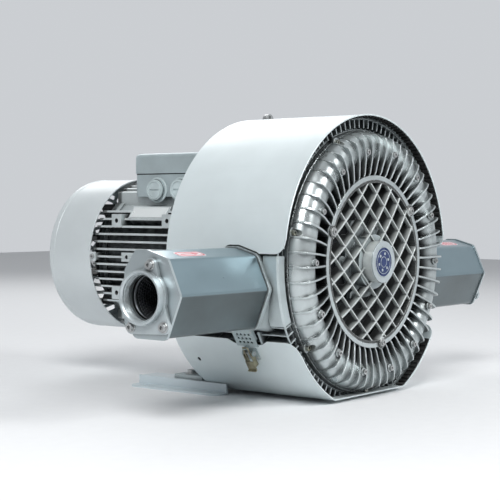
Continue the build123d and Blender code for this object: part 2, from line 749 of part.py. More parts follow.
def silencer_outline(grow=0.0):
    """Silencer section, drawn in y and z about the port axis, its edge in front."""
    corners = [
        (-SILENCER_FRONT, 4),
        (-SILENCER_FRONT + 26, SILENCER_SHOULDER),
        (0, SILENCER_TOP),
        (SILENCER_REAR / 2, SILENCER_TOP),
        (SILENCER_REAR, SILENCER_SHOULDER - 20),
        (SILENCER_REAR, -SILENCER_BOTTOM + 22),
        (SILENCER_REAR / 2, -SILENCER_BOTTOM),
        (-SILENCER_FRONT + 28, -SILENCER_BOTTOM),
    ]
    face = make_face(Polyline(*corners, close=True))
    section = fillet(face.vertices(), SILENCER_CORNER)
    if grow:
        section = offset(section, amount=grow)
    return section


def silencer_prism(x0, x1, grow=0.0):
    """Length of the silencer section on the left side, between distances from the shaft."""
    plane = Plane(origin=(-x1, SILENCER_Y, SILENCER_Z), x_dir=(0, 1, 0), z_dir=(1, 0, 0))
    return extrude(plane * silencer_outline(grow), x1 - x0)


def neck():
    """Cast neck that carries the left silencer, widened in front to meet the drum's face."""
    root = SILENCER_ROOT_X - GASKET_THICKNESS
    body = silencer_prism(NECK_INNER_X, root, -NECK_INSET)
    body += silencer_prism(root - NECK_FLANGE, root, NECK_LIP)
    plane = Plane(origin=(-root + 1, SILENCER_Y, SILENCER_Z), x_dir=(0, 1, 0), z_dir=(1, 0, 0))
    fairing = extrude(plane * silencer_outline(-NECK_INSET), NECK_FAIRING, taper=-NECK_TAPER)
    fairing_back = SILENCER_Y - NECK_FAIRING_DEPTH
    front_part = block(-root, 0, RIM_LIP, fairing_back, -WRAP_RADIUS, WRAP_RADIUS)
    return body + (fairing & front_part)


def neck_clearance():
    """Space round the left neck where the drum has no fins."""
    return silencer_prism(DRUM_RADIUS - 60, SILENCER_ROOT_X, NECK_FIN_GAP)


def front_fins():
    """Front ends of the fins beside the cover's rim, joined by a thin ring at their tips."""
    ends = finned_outline() - Circle(FIN_INNER_RADIUS)
    fins = section_xz(ends, FIN_FRONT_Y, RIM_LIP)
    ring = tube_y(TIP_RING_RADIUS, FIN_TIP_RADIUS - 1, FIN_FRONT_Y, FIN_FRONT_Y + TIP_RING_WIDTH)
    return fins + ring


def middle_housing():
    drum = section_xz(finned_outline(), RIM_LIP, STAGE_JOINT_Y)
    drum += front_fins()
    ring_radius = WRAP_RADIUS - WRAP_SHEET - SEAT
    drum += tube_y(ring_radius, DRUM_RADIUS - 1, WRAP_RING_Y, WRAP_RING_Y + WRAP_RING_WIDTH)
    clearance = neck_clearance()
    drum -= [clearance, mirrored(clearance)]
    drum += tube_y(DRUM_RADIUS, CHAMBER_RADIUS - 2, RIM_LIP, STAGE_JOINT_Y)
    necks = [neck(), mirrored(neck())]
    drum += necks
    front_stage = stage_cavity()
    rear_stage = Pos(0, RIM_LIP + STAGE_JOINT_Y, 0) * mirror(front_stage, Plane.XZ)
    drum -= [front_stage, rear_stage]
    drum -= port_chambers()
    for angle in spread(RIM_SCREW_COUNT, RIM_SCREW_START):
        x, z = on_circle(RIM_SCREW_CIRCLE, angle)
        drum -= along_y(RIM_SCREW_RADIUS, RIM_LIP - 1, RIM_LUG_FRONT + RIM_SCREW_LENGTH + 1, x, z)
    return flatten_bottom(drum)


def stage_cavity():
    """Space for the front impeller behind the cover joint, channel included."""
    channel = channel_lines(STAGE_DEPTH, 1, CHANNEL_BORE)
    outer, inner = channel @ 0, channel @ 1
    line = Polyline(
        inner,
        (inner.X, PARTITION_FRONT),
        (PARTITION_HUB, PARTITION_FRONT),
        (PARTITION_HUB, PARTITION_FRONT + PARTITION_WALL),
        (SHAFT_RADIUS + 1, PARTITION_FRONT + PARTITION_WALL),
        (SHAFT_RADIUS + 1, MIDDLE_Y),
        (0, MIDDLE_Y),
        (0, RIM_LIP - 1),
        (outer.X, RIM_LIP - 1),
        outer,
    )
    return turned([channel, line])


def port_chambers():
    """Hollows between the two stages, one for each port, with their ducts."""
    front_wall = STAGE_DEPTH + CHANNEL_SHELL
    back_wall = RIM_LIP + STAGE_JOINT_Y - front_wall
    chamber = tube_y(CHAMBER_RADIUS - 4, PARTITION_HUB + 24, front_wall, back_wall)
    left = chamber & block(-WRAP_RADIUS, -PARTITION_WALL / 2, 0, STAGE_JOINT_Y, -WRAP_RADIUS, WRAP_RADIUS)
    duct = along_x(DUCT_RADIUS, -SILENCER_ROOT_X - 1, -CHANNEL_INNER, SILENCER_Y, SILENCER_Z)
    place = CHANNEL_RADIUS * TRANSFER_PLACE
    inlet = along_y(TRANSFER_RADIUS, STAGE_DEPTH + 8, front_wall + 1, -place, SILENCER_Z)
    outlet_end = back_wall + CHANNEL_SHELL - 8
    outlet = along_y(TRANSFER_RADIUS, back_wall - 1, outlet_end, place, SILENCER_Z)
    return [left, mirrored(left), duct, mirrored(duct), inlet, outlet]


def rear_housing():
    drum = section_xz(finned_outline(), STAGE_JOINT_Y, DRUM_BACK_Y)
    drum += along_y(DRUM_RADIUS, STAGE_JOINT_Y, DRUM_BACK_Y)
    clearance = neck_clearance()
    drum -= [clearance, mirrored(clearance)]
    drum += tube_y(DRUM_RADIUS, CHAMBER_RADIUS, STAGE_JOINT_Y, DRUM_BACK_Y)
    ring_radius = WRAP_RADIUS - WRAP_SHEET - SEAT
    drum += tube_y(ring_radius, DRUM_RADIUS - 1, DRUM_BACK_Y - WRAP_RING_WIDTH, DRUM_BACK_Y)
    mirror_y = RIM_LIP + STAGE_JOINT_Y
    channel_y = mirror_y - CHANNEL_Y
    floor_front = mirror_y - COVER_BACK
    floor_back = mirror_y - COVER_FLOOR
    bore_arc = channel_lines(channel_y, 1, CHANNEL_BORE)
    outer, inner = bore_arc @ 0, bore_arc @ 1
    cavity = Polyline(
        inner,
        (inner.X, floor_front),
        (0, floor_front),
        (0, STAGE_JOINT_Y - 1),
        (outer.X, STAGE_JOINT_Y - 1),
        outer,
    )
    drum -= turned([bore_arc, cavity])
    hollow_arc = channel_lines(channel_y, 1, CHANNEL_SHELL)
    start, end = hollow_arc @ 0, hollow_arc @ 1
    back = Polyline(
        end,
        (end.X, floor_back),
        (BELL_RADIUS, floor_back),
        (BELL_RADIUS, DRUM_BACK_Y + 1),
        (CHAMBER_RADIUS, DRUM_BACK_Y + 1),
        (CHAMBER_RADIUS, channel_y + CHANNEL_WALL),
        start,
    )
    drum -= turned([hollow_arc, back])
    seat_back = DRIVE_BEARING_Y + DRIVE_BEARING_WIDTH
    drum -= tube_y(BELL_RADIUS - BELL_WALL, DRIVE_BEARING_RADIUS + 12, floor_back, DRUM_BACK_Y + 1)
    drum += tube_y(BELL_RADIUS, BELL_RADIUS - BELL_WALL, floor_back - 1, BELL_BACK_Y)
    drum -= along_y(DRIVE_BEARING_RADIUS, DRIVE_BEARING_Y, DRUM_BACK_Y + 1)
    drum -= along_y(DRIVE_BEARING_RADIUS - 8, floor_back + SEAL_WIDTH, seat_back)
    drum -= along_y(SEAL_RADIUS, STAGE_JOINT_Y - 1, seat_back)
    for angle in spread(SPOKE_COUNT, SPOKE_START):
        spoke = block(
            DRIVE_BEARING_RADIUS + 10,
            BELL_RADIUS - 4,
            floor_back - 1,
            seat_back,
            -SPOKE_HALF_WIDTH,
            SPOKE_HALF_WIDTH,
        )
        drum += round_shaft(angle) * spoke
    eye_boss = along_z(EYE_BOSS_RADIUS, CHAMBER_RADIUS + 2, ring_radius - 1, 0, EYE_Y)
    drum += eye_boss
    drum -= along_z(EYE_STUD_HOLE, CHAMBER_RADIUS + 6, WRAP_RADIUS, 0, EYE_Y)
    leg = housing_leg()
    drum = flatten_bottom(drum)
    return drum + [leg, mirrored(leg)]


def housing_leg():
    """Cast leg behind the drum that stands on the left rail."""
    pad_end = LEG_PAD_START_Y + LEG_PAD_LENGTH
    pad_top = RAIL_TOP_Z + LEG_PAD_THICKNESS
    plate = section_yz(
        [
            (STAGE_JOINT_Y + 45, -85),
            (BELL_BACK_Y - 2, -85),
            (BELL_BACK_Y - 2, LEG_SHOULDER_Z),
            (pad_end - 12, pad_top + 4),
            (pad_end - 12, RAIL_TOP_Z),
            (LEG_PAD_START_Y, RAIL_TOP_Z),
            (BELL_BACK_Y - 6, -CHAMBER_RADIUS + 28),
            (STAGE_JOINT_Y + 45, -CHAMBER_RADIUS + 14),
        ],
        -LEG_X - LEG_THICKNESS / 2,
        -LEG_X + LEG_THICKNESS / 2,
    )
    pad_inner = -LEG_X + LEG_THICKNESS / 2
    pad = block(-RAIL_WEB_X + 8, pad_inner, LEG_PAD_START_Y, pad_end, RAIL_TOP_Z, pad_top)
    hole = along_z(LEG_BOLT_HOLE, RAIL_TOP_Z - 1, pad_top + 1, -LEG_SCREW_X, LEG_SCREW_Y)
    return plate + pad - hole


# ---------------------------------------------------------------- impellers and rotor
def impeller(front=True):
    """Double-sided side channel impeller, drawn for the front stage."""
    rim_front = IMPELLER_FRONT
    rim_back = IMPELLER_BACK
    middle = (rim_front + rim_back) / 2
    body = turned_polygon(
        [
            (SHAFT_RADIUS, WEB_FRONT - HUB_STEP_FRONT),
            (IMPELLER_HUB_RADIUS, WEB_FRONT - HUB_STEP_FRONT),
            (IMPELLER_HUB_RADIUS, WEB_FRONT),
            (IMPELLER_RIM_INNER, WEB_FRONT),
            (IMPELLER_RIM_INNER, rim_front),
            (IMPELLER_RIM_INNER + IMPELLER_RIM_WALL, rim_front),
            (IMPELLER_RIM_INNER + IMPELLER_RIM_WALL, middle - IMPELLER_CORE / 2),
            (IMPELLER_RADIUS, middle - IMPELLER_CORE / 2),
            (IMPELLER_RADIUS, middle + IMPELLER_CORE / 2),
            (IMPELLER_RIM_INNER + IMPELLER_RIM_WALL, middle + IMPELLER_CORE / 2),
            (IMPELLER_RIM_INNER + IMPELLER_RIM_WALL, rim_back),
            (IMPELLER_RIM_INNER, rim_back),
            (IMPELLER_RIM_INNER, WEB_BACK),
            (IMPELLER_HUB_RADIUS, WEB_BACK),
            (IMPELLER_HUB_RADIUS, WEB_BACK + HUB_STEP_BACK),
            (SHAFT_RADIUS, WEB_BACK + HUB_STEP_BACK),
        ]
    )
    half = BLADE_THICKNESS / 2
    blade = block(IMPELLER_RIM_INNER + 1, IMPELLER_RADIUS - 0.2, rim_front, rim_back, -half, half)
    body += [round_shaft(angle) * blade for angle in spread(IMPELLER_BLADES)]
    if front:
        return body
    return Pos(0, RIM_LIP + STAGE_JOINT_Y, 0) * mirror(body, Plane.XZ)


def motor_shaft():
    front_step = COVER_BACK - 4
    rear_step = REAR_BEARING_Y - 5
    fan_end = FAN_START_Y + FAN_WIDTH + 6
    body = along_y(FRONT_JOURNAL_RADIUS, FRONT_BEARING_Y, front_step)
    body += along_y(SHAFT_RADIUS, front_step, rear_step)
    body += along_y(REAR_JOURNAL_RADIUS, rear_step, fan_end)
    return body


def rotor_core():
    end = CORE_START_Y + CORE_LENGTH
    radius = STATOR_BORE - AIR_GAP
    core = tube_y(radius, SHAFT_RADIUS, CORE_START_Y, end)
    rings = [
        tube_y(radius - 3, radius - 22, CORE_START_Y - 14, CORE_START_Y),
        tube_y(radius - 3, radius - 22, end, end + 14),
    ]
    return core + rings


def cooling_fan():
    back = FAN_START_Y + FAN_WIDTH
    hub = tube_y(FAN_HUB_RADIUS, REAR_JOURNAL_RADIUS, FAN_START_Y, back)
    disc = tube_y(FAN_RADIUS - 8, REAR_JOURNAL_RADIUS, FAN_START_Y, FAN_START_Y + FAN_DISC_THICKNESS)
    blade = block(FAN_HUB_RADIUS - 2, FAN_RADIUS, FAN_START_Y, back, -FAN_BLADE_HALF, FAN_BLADE_HALF)
    return hub + disc + [round_shaft(angle) * blade for angle in spread(FAN_BLADES)]


def bearings():
    front = tube_y(
        FRONT_BEARING_RADIUS,
        FRONT_JOURNAL_RADIUS + RUNNING_FIT,
        FRONT_BEARING_Y,
        FRONT_BEARING_Y + FRONT_BEARING_WIDTH,
    )
    drive = tube_y(
        DRIVE_BEARING_RADIUS,
        SHAFT_RADIUS + RUNNING_FIT,
        DRIVE_BEARING_Y,
        DRIVE_BEARING_Y + DRIVE_BEARING_WIDTH,
    )
    rear = tube_y(
        REAR_BEARING_RADIUS,
        REAR_JOURNAL_RADIUS + RUNNING_FIT,
        REAR_BEARING_Y,
        REAR_BEARING_Y + REAR_BEARING_WIDTH,
    )
    return [front, drive, rear]


def shaft_seal():
    rear_floor = RIM_LIP + STAGE_JOINT_Y - COVER_FLOOR
    return tube_y(SEAL_RADIUS, SHAFT_RADIUS + RUNNING_FIT, rear_floor, rear_floor + SEAL_WIDTH)


# ---------------------------------------------------------------- wrap
def wrap_tube(start, end):
    """Full wrap section between two places along the shaft, flat under the drum."""
    below = Rectangle(4 * WRAP_RADIUS, 2 * WRAP_RADIUS)
    inner_flat = WRAP_FLAT_Z + WRAP_SHEET
    outer = Circle(WRAP_RADIUS) - Pos(0, WRAP_FLAT_Z - WRAP_RADIUS) * below
    inner = Circle(WRAP_RADIUS - WRAP_SHEET) - Pos(0, inner_flat - WRAP_RADIUS) * below
    return section_xz(outer - inner, start, end)


def corner_cutter(y, z, y_direction, z_direction, radius):
    """Cutter that rounds a sheet corner at (y, z), seen across the shaft, through both sides."""
    reach = 2 * WRAP_RADIUS
    centre_y = y - y_direction * radius
    centre_z = z - z_direction * radius
    corner = block(-reach, reach, centre_y, y + y_direction, centre_z, z + z_direction)
    return corner - along_x(radius, -reach - 1, reach + 1, centre_y, centre_z)


def wrap_upper():
    reach = 2 * WRAP_RADIUS
    shell = wrap_tube(WRAP_FRONT_Y, WRAP_UPPER_BACK_Y)
    shell -= block(-reach, reach, -reach, reach, -reach, WRAP_UPPER_EDGE_Z)
    shell -= corner_cutter(WRAP_FRONT_Y, WRAP_UPPER_EDGE_Z, -1, -1, WRAP_CORNER)
    notch = silencer_prism(NECK_INNER_X, reach, NECK_LIP + WRAP_NECK_GAP)
    shell -= [notch, mirrored(notch)]
    return shell - along_z(EYE_BOSS_RADIUS + 2, 0, reach, 0, EYE_Y)


def wrap_lower():
    reach = 2 * WRAP_RADIUS
    shell = wrap_tube(WRAP_FRONT_Y, WRAP_LOWER_BACK_Y)
    shell -= block(-reach, reach, -reach, reach, WRAP_LOWER_EDGE_Z, reach)
    shell -= corner_cutter(WRAP_FRONT_Y, WRAP_LOWER_EDGE_Z, -1, 1, WRAP_CORNER)
    notch = section_yz(
        [
            (LATCH_Y - 46, WRAP_LOWER_EDGE_Z + 1),
            (LATCH_Y - 30, LATCH_NOTCH_Z),
            (LATCH_Y + 30, LATCH_NOTCH_Z),
            (LATCH_Y + 46, WRAP_LOWER_EDGE_Z + 1),
        ],
        -reach,
        reach,
    )
    holes = along_x(3.5, -reach, reach, WRAP_LOWER_BACK_Y - 33, WRAP_LOWER_EDGE_Z - 46)
    return shell - notch - holes


# ---------------------------------------------------------------- toggle latches
def to_latch(angle):
    """Places a latch piece: its u, v, w axes are drawn as x, y, z of the helper frame."""
    x, z = on_circle(WRAP_RADIUS, angle)
    down = Vector(-math.sin(math.radians(angle)), 0, math.cos(math.radians(angle)))
    out = Vector(math.cos(math.radians(angle)), 0, math.sin(math.radians(angle)))
    return Plane(origin=(x, LATCH_Y, z), x_dir=down, z_dir=out)




def latch_base():
    """Plate with two ears on the lower shell, left side."""
    half = LATCH_BASE_WIDTH / 2
    start = LATCH_BASE_SHIFT - LATCH_BASE_LENGTH / 2
    plate = block(start, start + LATCH_BASE_LENGTH, -half, half, SEAT, SEAT + LATCH_SHEET)
    ears = []
    for side in (-1, 1):
        inner = side * (LEVER_WIDTH / 2 + LATCH_SIDE_GAP)
        outer = inner + side * LATCH_SHEET
        low, high = min(inner, outer), max(inner, outer)
        ear = block(-LATCH_EAR_RADIUS, LATCH_EAR_RADIUS, low, high, SEAT, LATCH_PIVOT_HEIGHT)
        ear += along_y(LATCH_EAR_RADIUS, low, high, 0, LATCH_PIVOT_HEIGHT)
        ears.append(ear - along_y(LATCH_PIN_RADIUS, low - 1, high + 1, 0, LATCH_PIVOT_HEIGHT))
    return to_latch(LATCH_ANGLE) * (plate + ears)


def latch_pin():
    reach = LEVER_WIDTH / 2 + LATCH_SIDE_GAP + LATCH_SHEET
    pin = along_y(LATCH_PIN_RADIUS, -reach - 1, reach + 1, 0, LATCH_PIVOT_HEIGHT)
    heads = [
        along_y(LATCH_PIN_RADIUS + PIN_HEAD, reach, reach + PIN_HEAD, 0, LATCH_PIVOT_HEIGHT),
        along_y(LATCH_PIN_RADIUS + PIN_HEAD, -reach - PIN_HEAD, -reach, 0, LATCH_PIVOT_HEIGHT),
    ]
    return to_latch(LATCH_ANGLE) * (pin + heads)


def latch_lever():
    """Channel-shaped lever on the pivot pin, closed, left side."""
    half = LEVER_WIDTH / 2
    back = LATCH_PIVOT_HEIGHT + LEVER_DEPTH
    sides = []
    for side in (-1, 1):
        low = min(side * half, side * (half - LATCH_SHEET))
        high = low + LATCH_SHEET
        cheek = along_y(LEVER_EYE_RADIUS, low, high, 0, LATCH_PIVOT_HEIGHT)
        cheek += block(0, LEVER_LENGTH - 7, low, high, LATCH_PIVOT_HEIGHT - 2, back)
        cheek -= along_y(LATCH_PIN_RADIUS + RUNNING_FIT, low - 1, high + 1, 0, LATCH_PIVOT_HEIGHT)
        cheek -= along_y(
            BAIL_WIRE + RUNNING_FIT, low - 1, high + 1, BAIL_OFFSET, LATCH_PIVOT_HEIGHT + BAIL_RISE
        )
        sides.append(cheek)
    top = block(BAIL_OFFSET + 6, LEVER_LENGTH, -half, half, back, back + LATCH_SHEET)
    bent = block(LEVER_LENGTH - LATCH_SHEET, LEVER_LENGTH, -half, half, back, back + LEVER_LIP)
    joined = sides[0] + sides[1] + top + bent
    return to_latch(LATCH_ANGLE) * joined


def latch_bail():
    """Wire loop from the lever's eyes to the keeper's lip, left side."""
    height = LATCH_PIVOT_HEIGHT + BAIL_RISE
    eye_end = LEVER_WIDTH / 2 + LATCH_SIDE_GAP / 2
    loop = []
    for side in (-1, 1):
        low, high = sorted((side * BAIL_HALF_WIDTH, side * eye_end))
        loop.append(along_y(BAIL_WIRE, low, high, BAIL_OFFSET, height))
        rod = along_x(BAIL_WIRE, HOOK_U, BAIL_OFFSET, side * BAIL_HALF_WIDTH, height)
        loop.append(rod)
        loop.append(Pos(BAIL_OFFSET, side * BAIL_HALF_WIDTH, height) * Sphere(BAIL_WIRE))
        loop.append(Pos(HOOK_U, side * BAIL_HALF_WIDTH, height) * Sphere(BAIL_WIRE))
    loop.append(along_y(BAIL_WIRE, -BAIL_HALF_WIDTH, BAIL_HALF_WIDTH, HOOK_U, height))
    wire = loop[0]
    for stretch in loop[1:]:
        wire += stretch
    return to_latch(LATCH_ANGLE) * wire


def latch_keeper():
    """Perforated bracket under the neck with the lip that the bail pulls on, left side."""
    half = KEEPER_WIDTH / 2
    lip_u = HOOK_U + BAIL_WIRE + SEAT
    lip_half = BAIL_HALF_WIDTH - BAIL_WIRE - SEAT
    lip_top = LATCH_PIVOT_HEIGHT + BAIL_RISE + KEEPER_LIP
    bottom = KEEPER_HEIGHT
    top = bottom + LATCH_SHEET
    plate = block(HOOK_U - KEEPER_LENGTH, lip_u + LATCH_SHEET, -half, half, bottom, top)
    lip = block(lip_u, lip_u + LATCH_SHEET, -lip_half, lip_half, top, lip_top)
    edge_start = HOOK_U - KEEPER_LENGTH + 4
    edges = [
        block(edge_start, HOOK_U - 10, middle - 1, middle + 1, bottom - 4, top)
        for middle in (1 - half, half - 1)
    ]
    holes = []
    for row in range(KEEPER_HOLE_ROWS):
        for column in range(KEEPER_HOLE_COLUMNS):
            u = HOOK_U - 6 - KEEPER_HOLE_PITCH * row
            v = KEEPER_HOLE_PITCH * (column - (KEEPER_HOLE_COLUMNS - 1) / 2)
            holes.append(along_z(KEEPER_HOLE_RADIUS, 0, 5, u, v))
    sheet = to_latch(LATCH_ANGLE) * (plate + lip + edges - holes)
    corner = to_latch(LATCH_ANGLE).from_local_coords(Vector(HOOK_U - KEEPER_LENGTH, 0, top))
    neck_bottom = SILENCER_Z - SILENCER_BOTTOM + NECK_INSET
    tab = block(
        corner.X - 2, corner.X + KEEPER_TAB, LATCH_Y - half, LATCH_Y + half, corner.Z - 1, neck_bottom
    )
    return sheet + tab


# ---------------------------------------------------------------- silencers
def silencer_body():
    """Left silencer shell."""
    shell = silencer_prism(SILENCER_ROOT_X, SILENCER_END_X)
    return shell - silencer_prism(SILENCER_ROOT_X - 1, SILENCER_END_X + 1, -SILENCER_WALL)


def silencer_gasket():
    start = SILENCER_ROOT_X - GASKET_THICKNESS
    sheet = silencer_prism(start, SILENCER_ROOT_X, -1.0)
    return sheet - left_bore(DUCT_RADIUS, start - 1, SILENCER_ROOT_X + 1)


def left_bore(radius, x0, x1):
    """Round bar on the left port axis between distances from the shaft."""
    return along_x(radius, -x1, -x0, SILENCER_Y, SILENCER_Z)


def silencer_foam():
    grow = -SILENCER_WALL - FOAM_GAP * 0.3
    start = SILENCER_ROOT_X + SEAT
    end = SILENCER_END_X - TUBE_SETBACK
    return silencer_prism(start, end, grow) - left_bore(TUBE_RADIUS + FOAM_GAP, start - 1, end + 1)


def silencer_end():
    plate = silencer_prism(SILENCER_END_X, PLATE_END_X, END_PLATE_LIP)
    plate -= left_bore(DUCT_RADIUS, SILENCER_END_X - 1, PLATE_END_X + 1)
    return plate - port_screw_cutters(SILENCER_END_X - 1, PLATE_END_X + 1, PORT_SCREW_RADIUS)


def port_screw_cutters(x0, x1, radius):
    return [
        along_x(radius, -x1, -x0, SILENCER_Y + dy, SILENCER_Z + dz) for dy, dz in PORT_BOSS_PLACES
    ]


def port_flange():
    """Cast three-lobed port flange, left side."""
    lobes = [Pos(dy, dz) * Circle(PORT_BOSS_RADIUS) for dy, dz in PORT_BOSS_PLACES]
    sketch = make_hull((Circle(PORT_BOSS_RADIUS) + lobes).edges()) + Circle(PORT_RING_RADIUS + 2)
    seat = PLATE_END_X + PORT_FLANGE_THICKNESS
    mouth = PLATE_END_X + PORT_RING_DEPTH
    plane = Plane(origin=(-seat, SILENCER_Y, SILENCER_Z), x_dir=(0, 1, 0), z_dir=(1, 0, 0))
    body = extrude(plane * sketch, PORT_FLANGE_THICKNESS)
    body += left_bore(PORT_RING_RADIUS, PLATE_END_X, mouth)
    body -= left_bore(PORT_BORE, PLATE_END_X - 1, mouth + 1)
    mouth_plane = Plane(origin=(-mouth, SILENCER_Y, SILENCER_Z), x_dir=(0, 1, 0), z_dir=(1, 0, 0))
    body -= extrude(mouth_plane * Circle(PORT_BORE + PORT_CHAMFER), PORT_CHAMFER, taper=45)
    return body - port_screw_cutters(PLATE_END_X - 1, mouth, PORT_SCREW_RADIUS)


def port_tube():
    """Perforated tube on the port axis, left side."""
    start = SILENCER_ROOT_X + SEAT
    end = PLATE_END_X - TUBE_SETBACK
    return left_bore(TUBE_RADIUS, start, end) - left_bore(TUBE_RADIUS - TUBE_WALL, start - 1, end + 1)


def port_screws():
    screws = []
    seat = -PLATE_END_X - PORT_FLANGE_THICKNESS
    for dy, dz in PORT_BOSS_PLACES:
        length = PORT_FLANGE_THICKNESS + END_PLATE_THICKNESS
        screw = cap_screw(PORT_SCREW_SHANK, PORT_SCREW_HEAD, PORT_SCREW_HEIGHT, length)
        screws.append(Pos(seat, SILENCER_Y + dy, SILENCER_Z + dz) * Rot(0, -90, 0) * screw)
    return screws


# ---------------------------------------------------------------- motor
def frame_outline():
    """Motor frame section with level fins at the sides and upright fins above and below."""
    sketch = Circle(FRAME_RADIUS)
    fins = []
    for step in range(-6, 7):
        place = FRAME_FIN_PITCH * step
        fins.append(Pos(0, place) * Rectangle(2 * FRAME_FIN_RADIUS, FRAME_FIN_THICKNESS))
        if abs(step) < 6:
            fins.append(Pos(place, 0) * Rectangle(FRAME_FIN_THICKNESS, 2 * FRAME_FIN_RADIUS))
    fins_sketch = Sketch() + fins
    return sketch + (fins_sketch & Circle(FRAME_FIN_RADIUS))


def nameplate_seat(radius, height, length, width):
    """Block on the frame's shoulder, its outer face level with the given radius."""
    place = Pos(0, NAMEPLATE_Y, 0) * round_shaft(NAMEPLATE_ANGLE) * Pos(radius - height / 2, 0, 0)
    return place * Box(height, length, width)


def motor_frame():
    body = section_xz(frame_outline(), BELL_BACK_Y, FRAME_BACK_Y)
    body += along_y(FRAME_FIN_RADIUS - 2, BELL_BACK_Y, BELL_BACK_Y + 10)
    overhang = frame_outline() - Circle(SHIELD_RADIUS + SEAT)
    body += section_xz(overhang, FRAME_BACK_Y, FRAME_BACK_Y + FIN_OVERHANG)
    body += along_y(SHIELD_RADIUS, FRAME_BACK_Y - 10, FRAME_BACK_Y)
    pads = []
    holes = []
    pad_half = PAD_SIZE / 2
    for side in (-1, 1):
        for y in (PAD_FRONT_Y, PAD_BACK_Y):
            for z in (-PAD_HEIGHT, PAD_HEIGHT):
                x0, x1 = sorted((side * (FRAME_RADIUS - 40), side * (PAD_REACH - 8)))
                pads.append(block(x0, x1, y - pad_half, y + pad_half, z - pad_half, z + pad_half))
                holes.append(along_x(PAD_HOLE_RADIUS, *sorted((side * 120, side * 160)), y, z))
        x0, x1 = sorted((side * (FRAME_RADIUS - 10), side * PAD_REACH))
        lug_ends = (LUG_Y - LUG_HALF_LENGTH, LUG_Y + LUG_HALF_LENGTH)
        pads.append(block(x0, x1, *lug_ends, -LUG_HALF_HEIGHT, LUG_HALF_HEIGHT))
        for y in (LUG_Y - LUG_HOLE_OFFSET, LUG_Y + LUG_HOLE_OFFSET):
            holes.append(along_x(LUG_HOLE_RADIUS, *sorted((side * 135, side * 160)), y, 0))
    ear_inner = FAN_COVER_RADIUS - FAN_COVER_SHEET - SEAT
    screw_y = SHIELD_BACK_Y - COVER_EAR_SCREW
    for angle in spread(FAN_COVER_EARS):
        boss = block(SHIELD_RADIUS + SEAT, ear_inner, screw_y - 7, FRAME_BACK_Y + FIN_OVERHANG, -7, 7)
        pads.append(round_shaft(angle) * boss)
        holes.append(round_shaft(angle) * along_x(2.5, SHIELD_RADIUS + 8, FAN_COVER_RADIUS, screw_y))
    pads.append(box_seat(0.0, FRAME_RADIUS - 12))
    pads.append(nameplate_seat(FRAME_FIN_RADIUS, 30, NAMEPLATE_LENGTH + 8, NAMEPLATE_WIDTH + 6))
    body = body + pads - holes
    return body - along_y(FRAME_BORE, BELL_BACK_Y - 1, FRAME_BACK_Y + 1)


def box_seat(grow, bottom):
    """Block under the terminal box, widened by a gap where it is used as a cutter."""
    start = BOX_START_Y + BOX_SEAT_MARGIN - grow
    end = BOX_START_Y + BOX_LENGTH - BOX_SEAT_MARGIN + grow
    half = BOX_SEAT_HALF_WIDTH + grow
    return block(-half, half, start, end, bottom, FRAME_FIN_RADIUS)


def nameplate():
    return nameplate_seat(FRAME_FIN_RADIUS + 1, 1, NAMEPLATE_LENGTH, NAMEPLATE_WIDTH)


def rear_end_shield():
    body = along_y(SHIELD_RADIUS, FRAME_BACK_Y, SHIELD_BACK_Y)
    body += along_y(REAR_BEARING_RADIUS + 10, REAR_BEARING_Y - 4, SHIELD_BACK_Y)
    body -= along_y(REAR_BEARING_RADIUS, REAR_BEARING_Y, REAR_BEARING_Y + REAR_BEARING_WIDTH)
    return body - along_y(REAR_JOURNAL_RADIUS + 4, REAR_BEARING_Y - 5, SHIELD_BACK_Y + 1)


def stator_core():
    return tube_y(FRAME_BORE, STATOR_BORE, CORE_START_Y, CORE_START_Y + CORE_LENGTH)


def stator_windings():
    end = CORE_START_Y + CORE_LENGTH
    return [
        tube_y(WINDING_OUTER, WINDING_INNER, CORE_START_Y - WINDING_LENGTH, CORE_START_Y),
        tube_y(WINDING_OUTER, WINDING_INNER, end, end + WINDING_LENGTH),
    ]


def fan_cover():
    inner = FAN_COVER_RADIUS - FAN_COVER_SHEET
    front = SHIELD_BACK_Y
    cup = along_y(FAN_COVER_RADIUS, front, FAN_COVER_BACK_Y)
    rear_edges = cup.edges().group_by(Axis.Y)[-1]
    cup = fillet(rear_edges, FAN_COVER_ROUND)
    hollow = along_y(inner, front - 1, FAN_COVER_BACK_Y - FAN_COVER_SHEET)
    hollow_edges = hollow.edges().group_by(Axis.Y)[-1]
    cup -= fillet(hollow_edges, FAN_COVER_ROUND - FAN_COVER_SHEET)
    slots = Sketch()
    slot_half = FAN_COVER_SLOT_WIDTH / 2
    for radius in FAN_COVER_SLOTS:
        slots += Circle(radius + slot_half) - Circle(radius - slot_half)
    bridge = Rectangle(2 * FAN_COVER_RADIUS, FAN_COVER_SLOT_WIDTH)
    slots -= [Rot(0, 0, angle) * bridge for angle in FAN_COVER_BRIDGES]
    cup -= section_xz(slots, FAN_COVER_BACK_Y - 4, FAN_COVER_BACK_Y + 1)
    ears = []
    screw_y = front - COVER_EAR_SCREW
    ear_front = front - COVER_EAR_LENGTH
    ear_half = COVER_EAR_WIDTH / 2
    ear_block = block(0, FAN_COVER_RADIUS + 1, ear_front, front + 1, -ear_half, ear_half)
    ear = ear_block & tube_y(FAN_COVER_RADIUS, inner, ear_front, front + 1)
    for angle in spread(FAN_COVER_EARS):
        ears.append(round_shaft(angle) * ear)
    cup += ears
    hole = along_x(FAN_COVER_HOLE, inner - 1, FAN_COVER_RADIUS + 1, screw_y)
    return cup - [round_shaft(angle) * hole for angle in spread(FAN_COVER_EARS)]


def fan_cover_screws():
    screw = cap_screw(FAN_SCREW_SHANK, FAN_SCREW_HEAD, FAN_SCREW_HEIGHT, FAN_SCREW_LENGTH)
    placed = Pos(FAN_COVER_RADIUS + 0.1, SHIELD_BACK_Y - COVER_EAR_SCREW, 0) * Rot(0, 90, 0) * screw
    return [round_shaft(angle) * placed for angle in spread(FAN_COVER_EARS)]


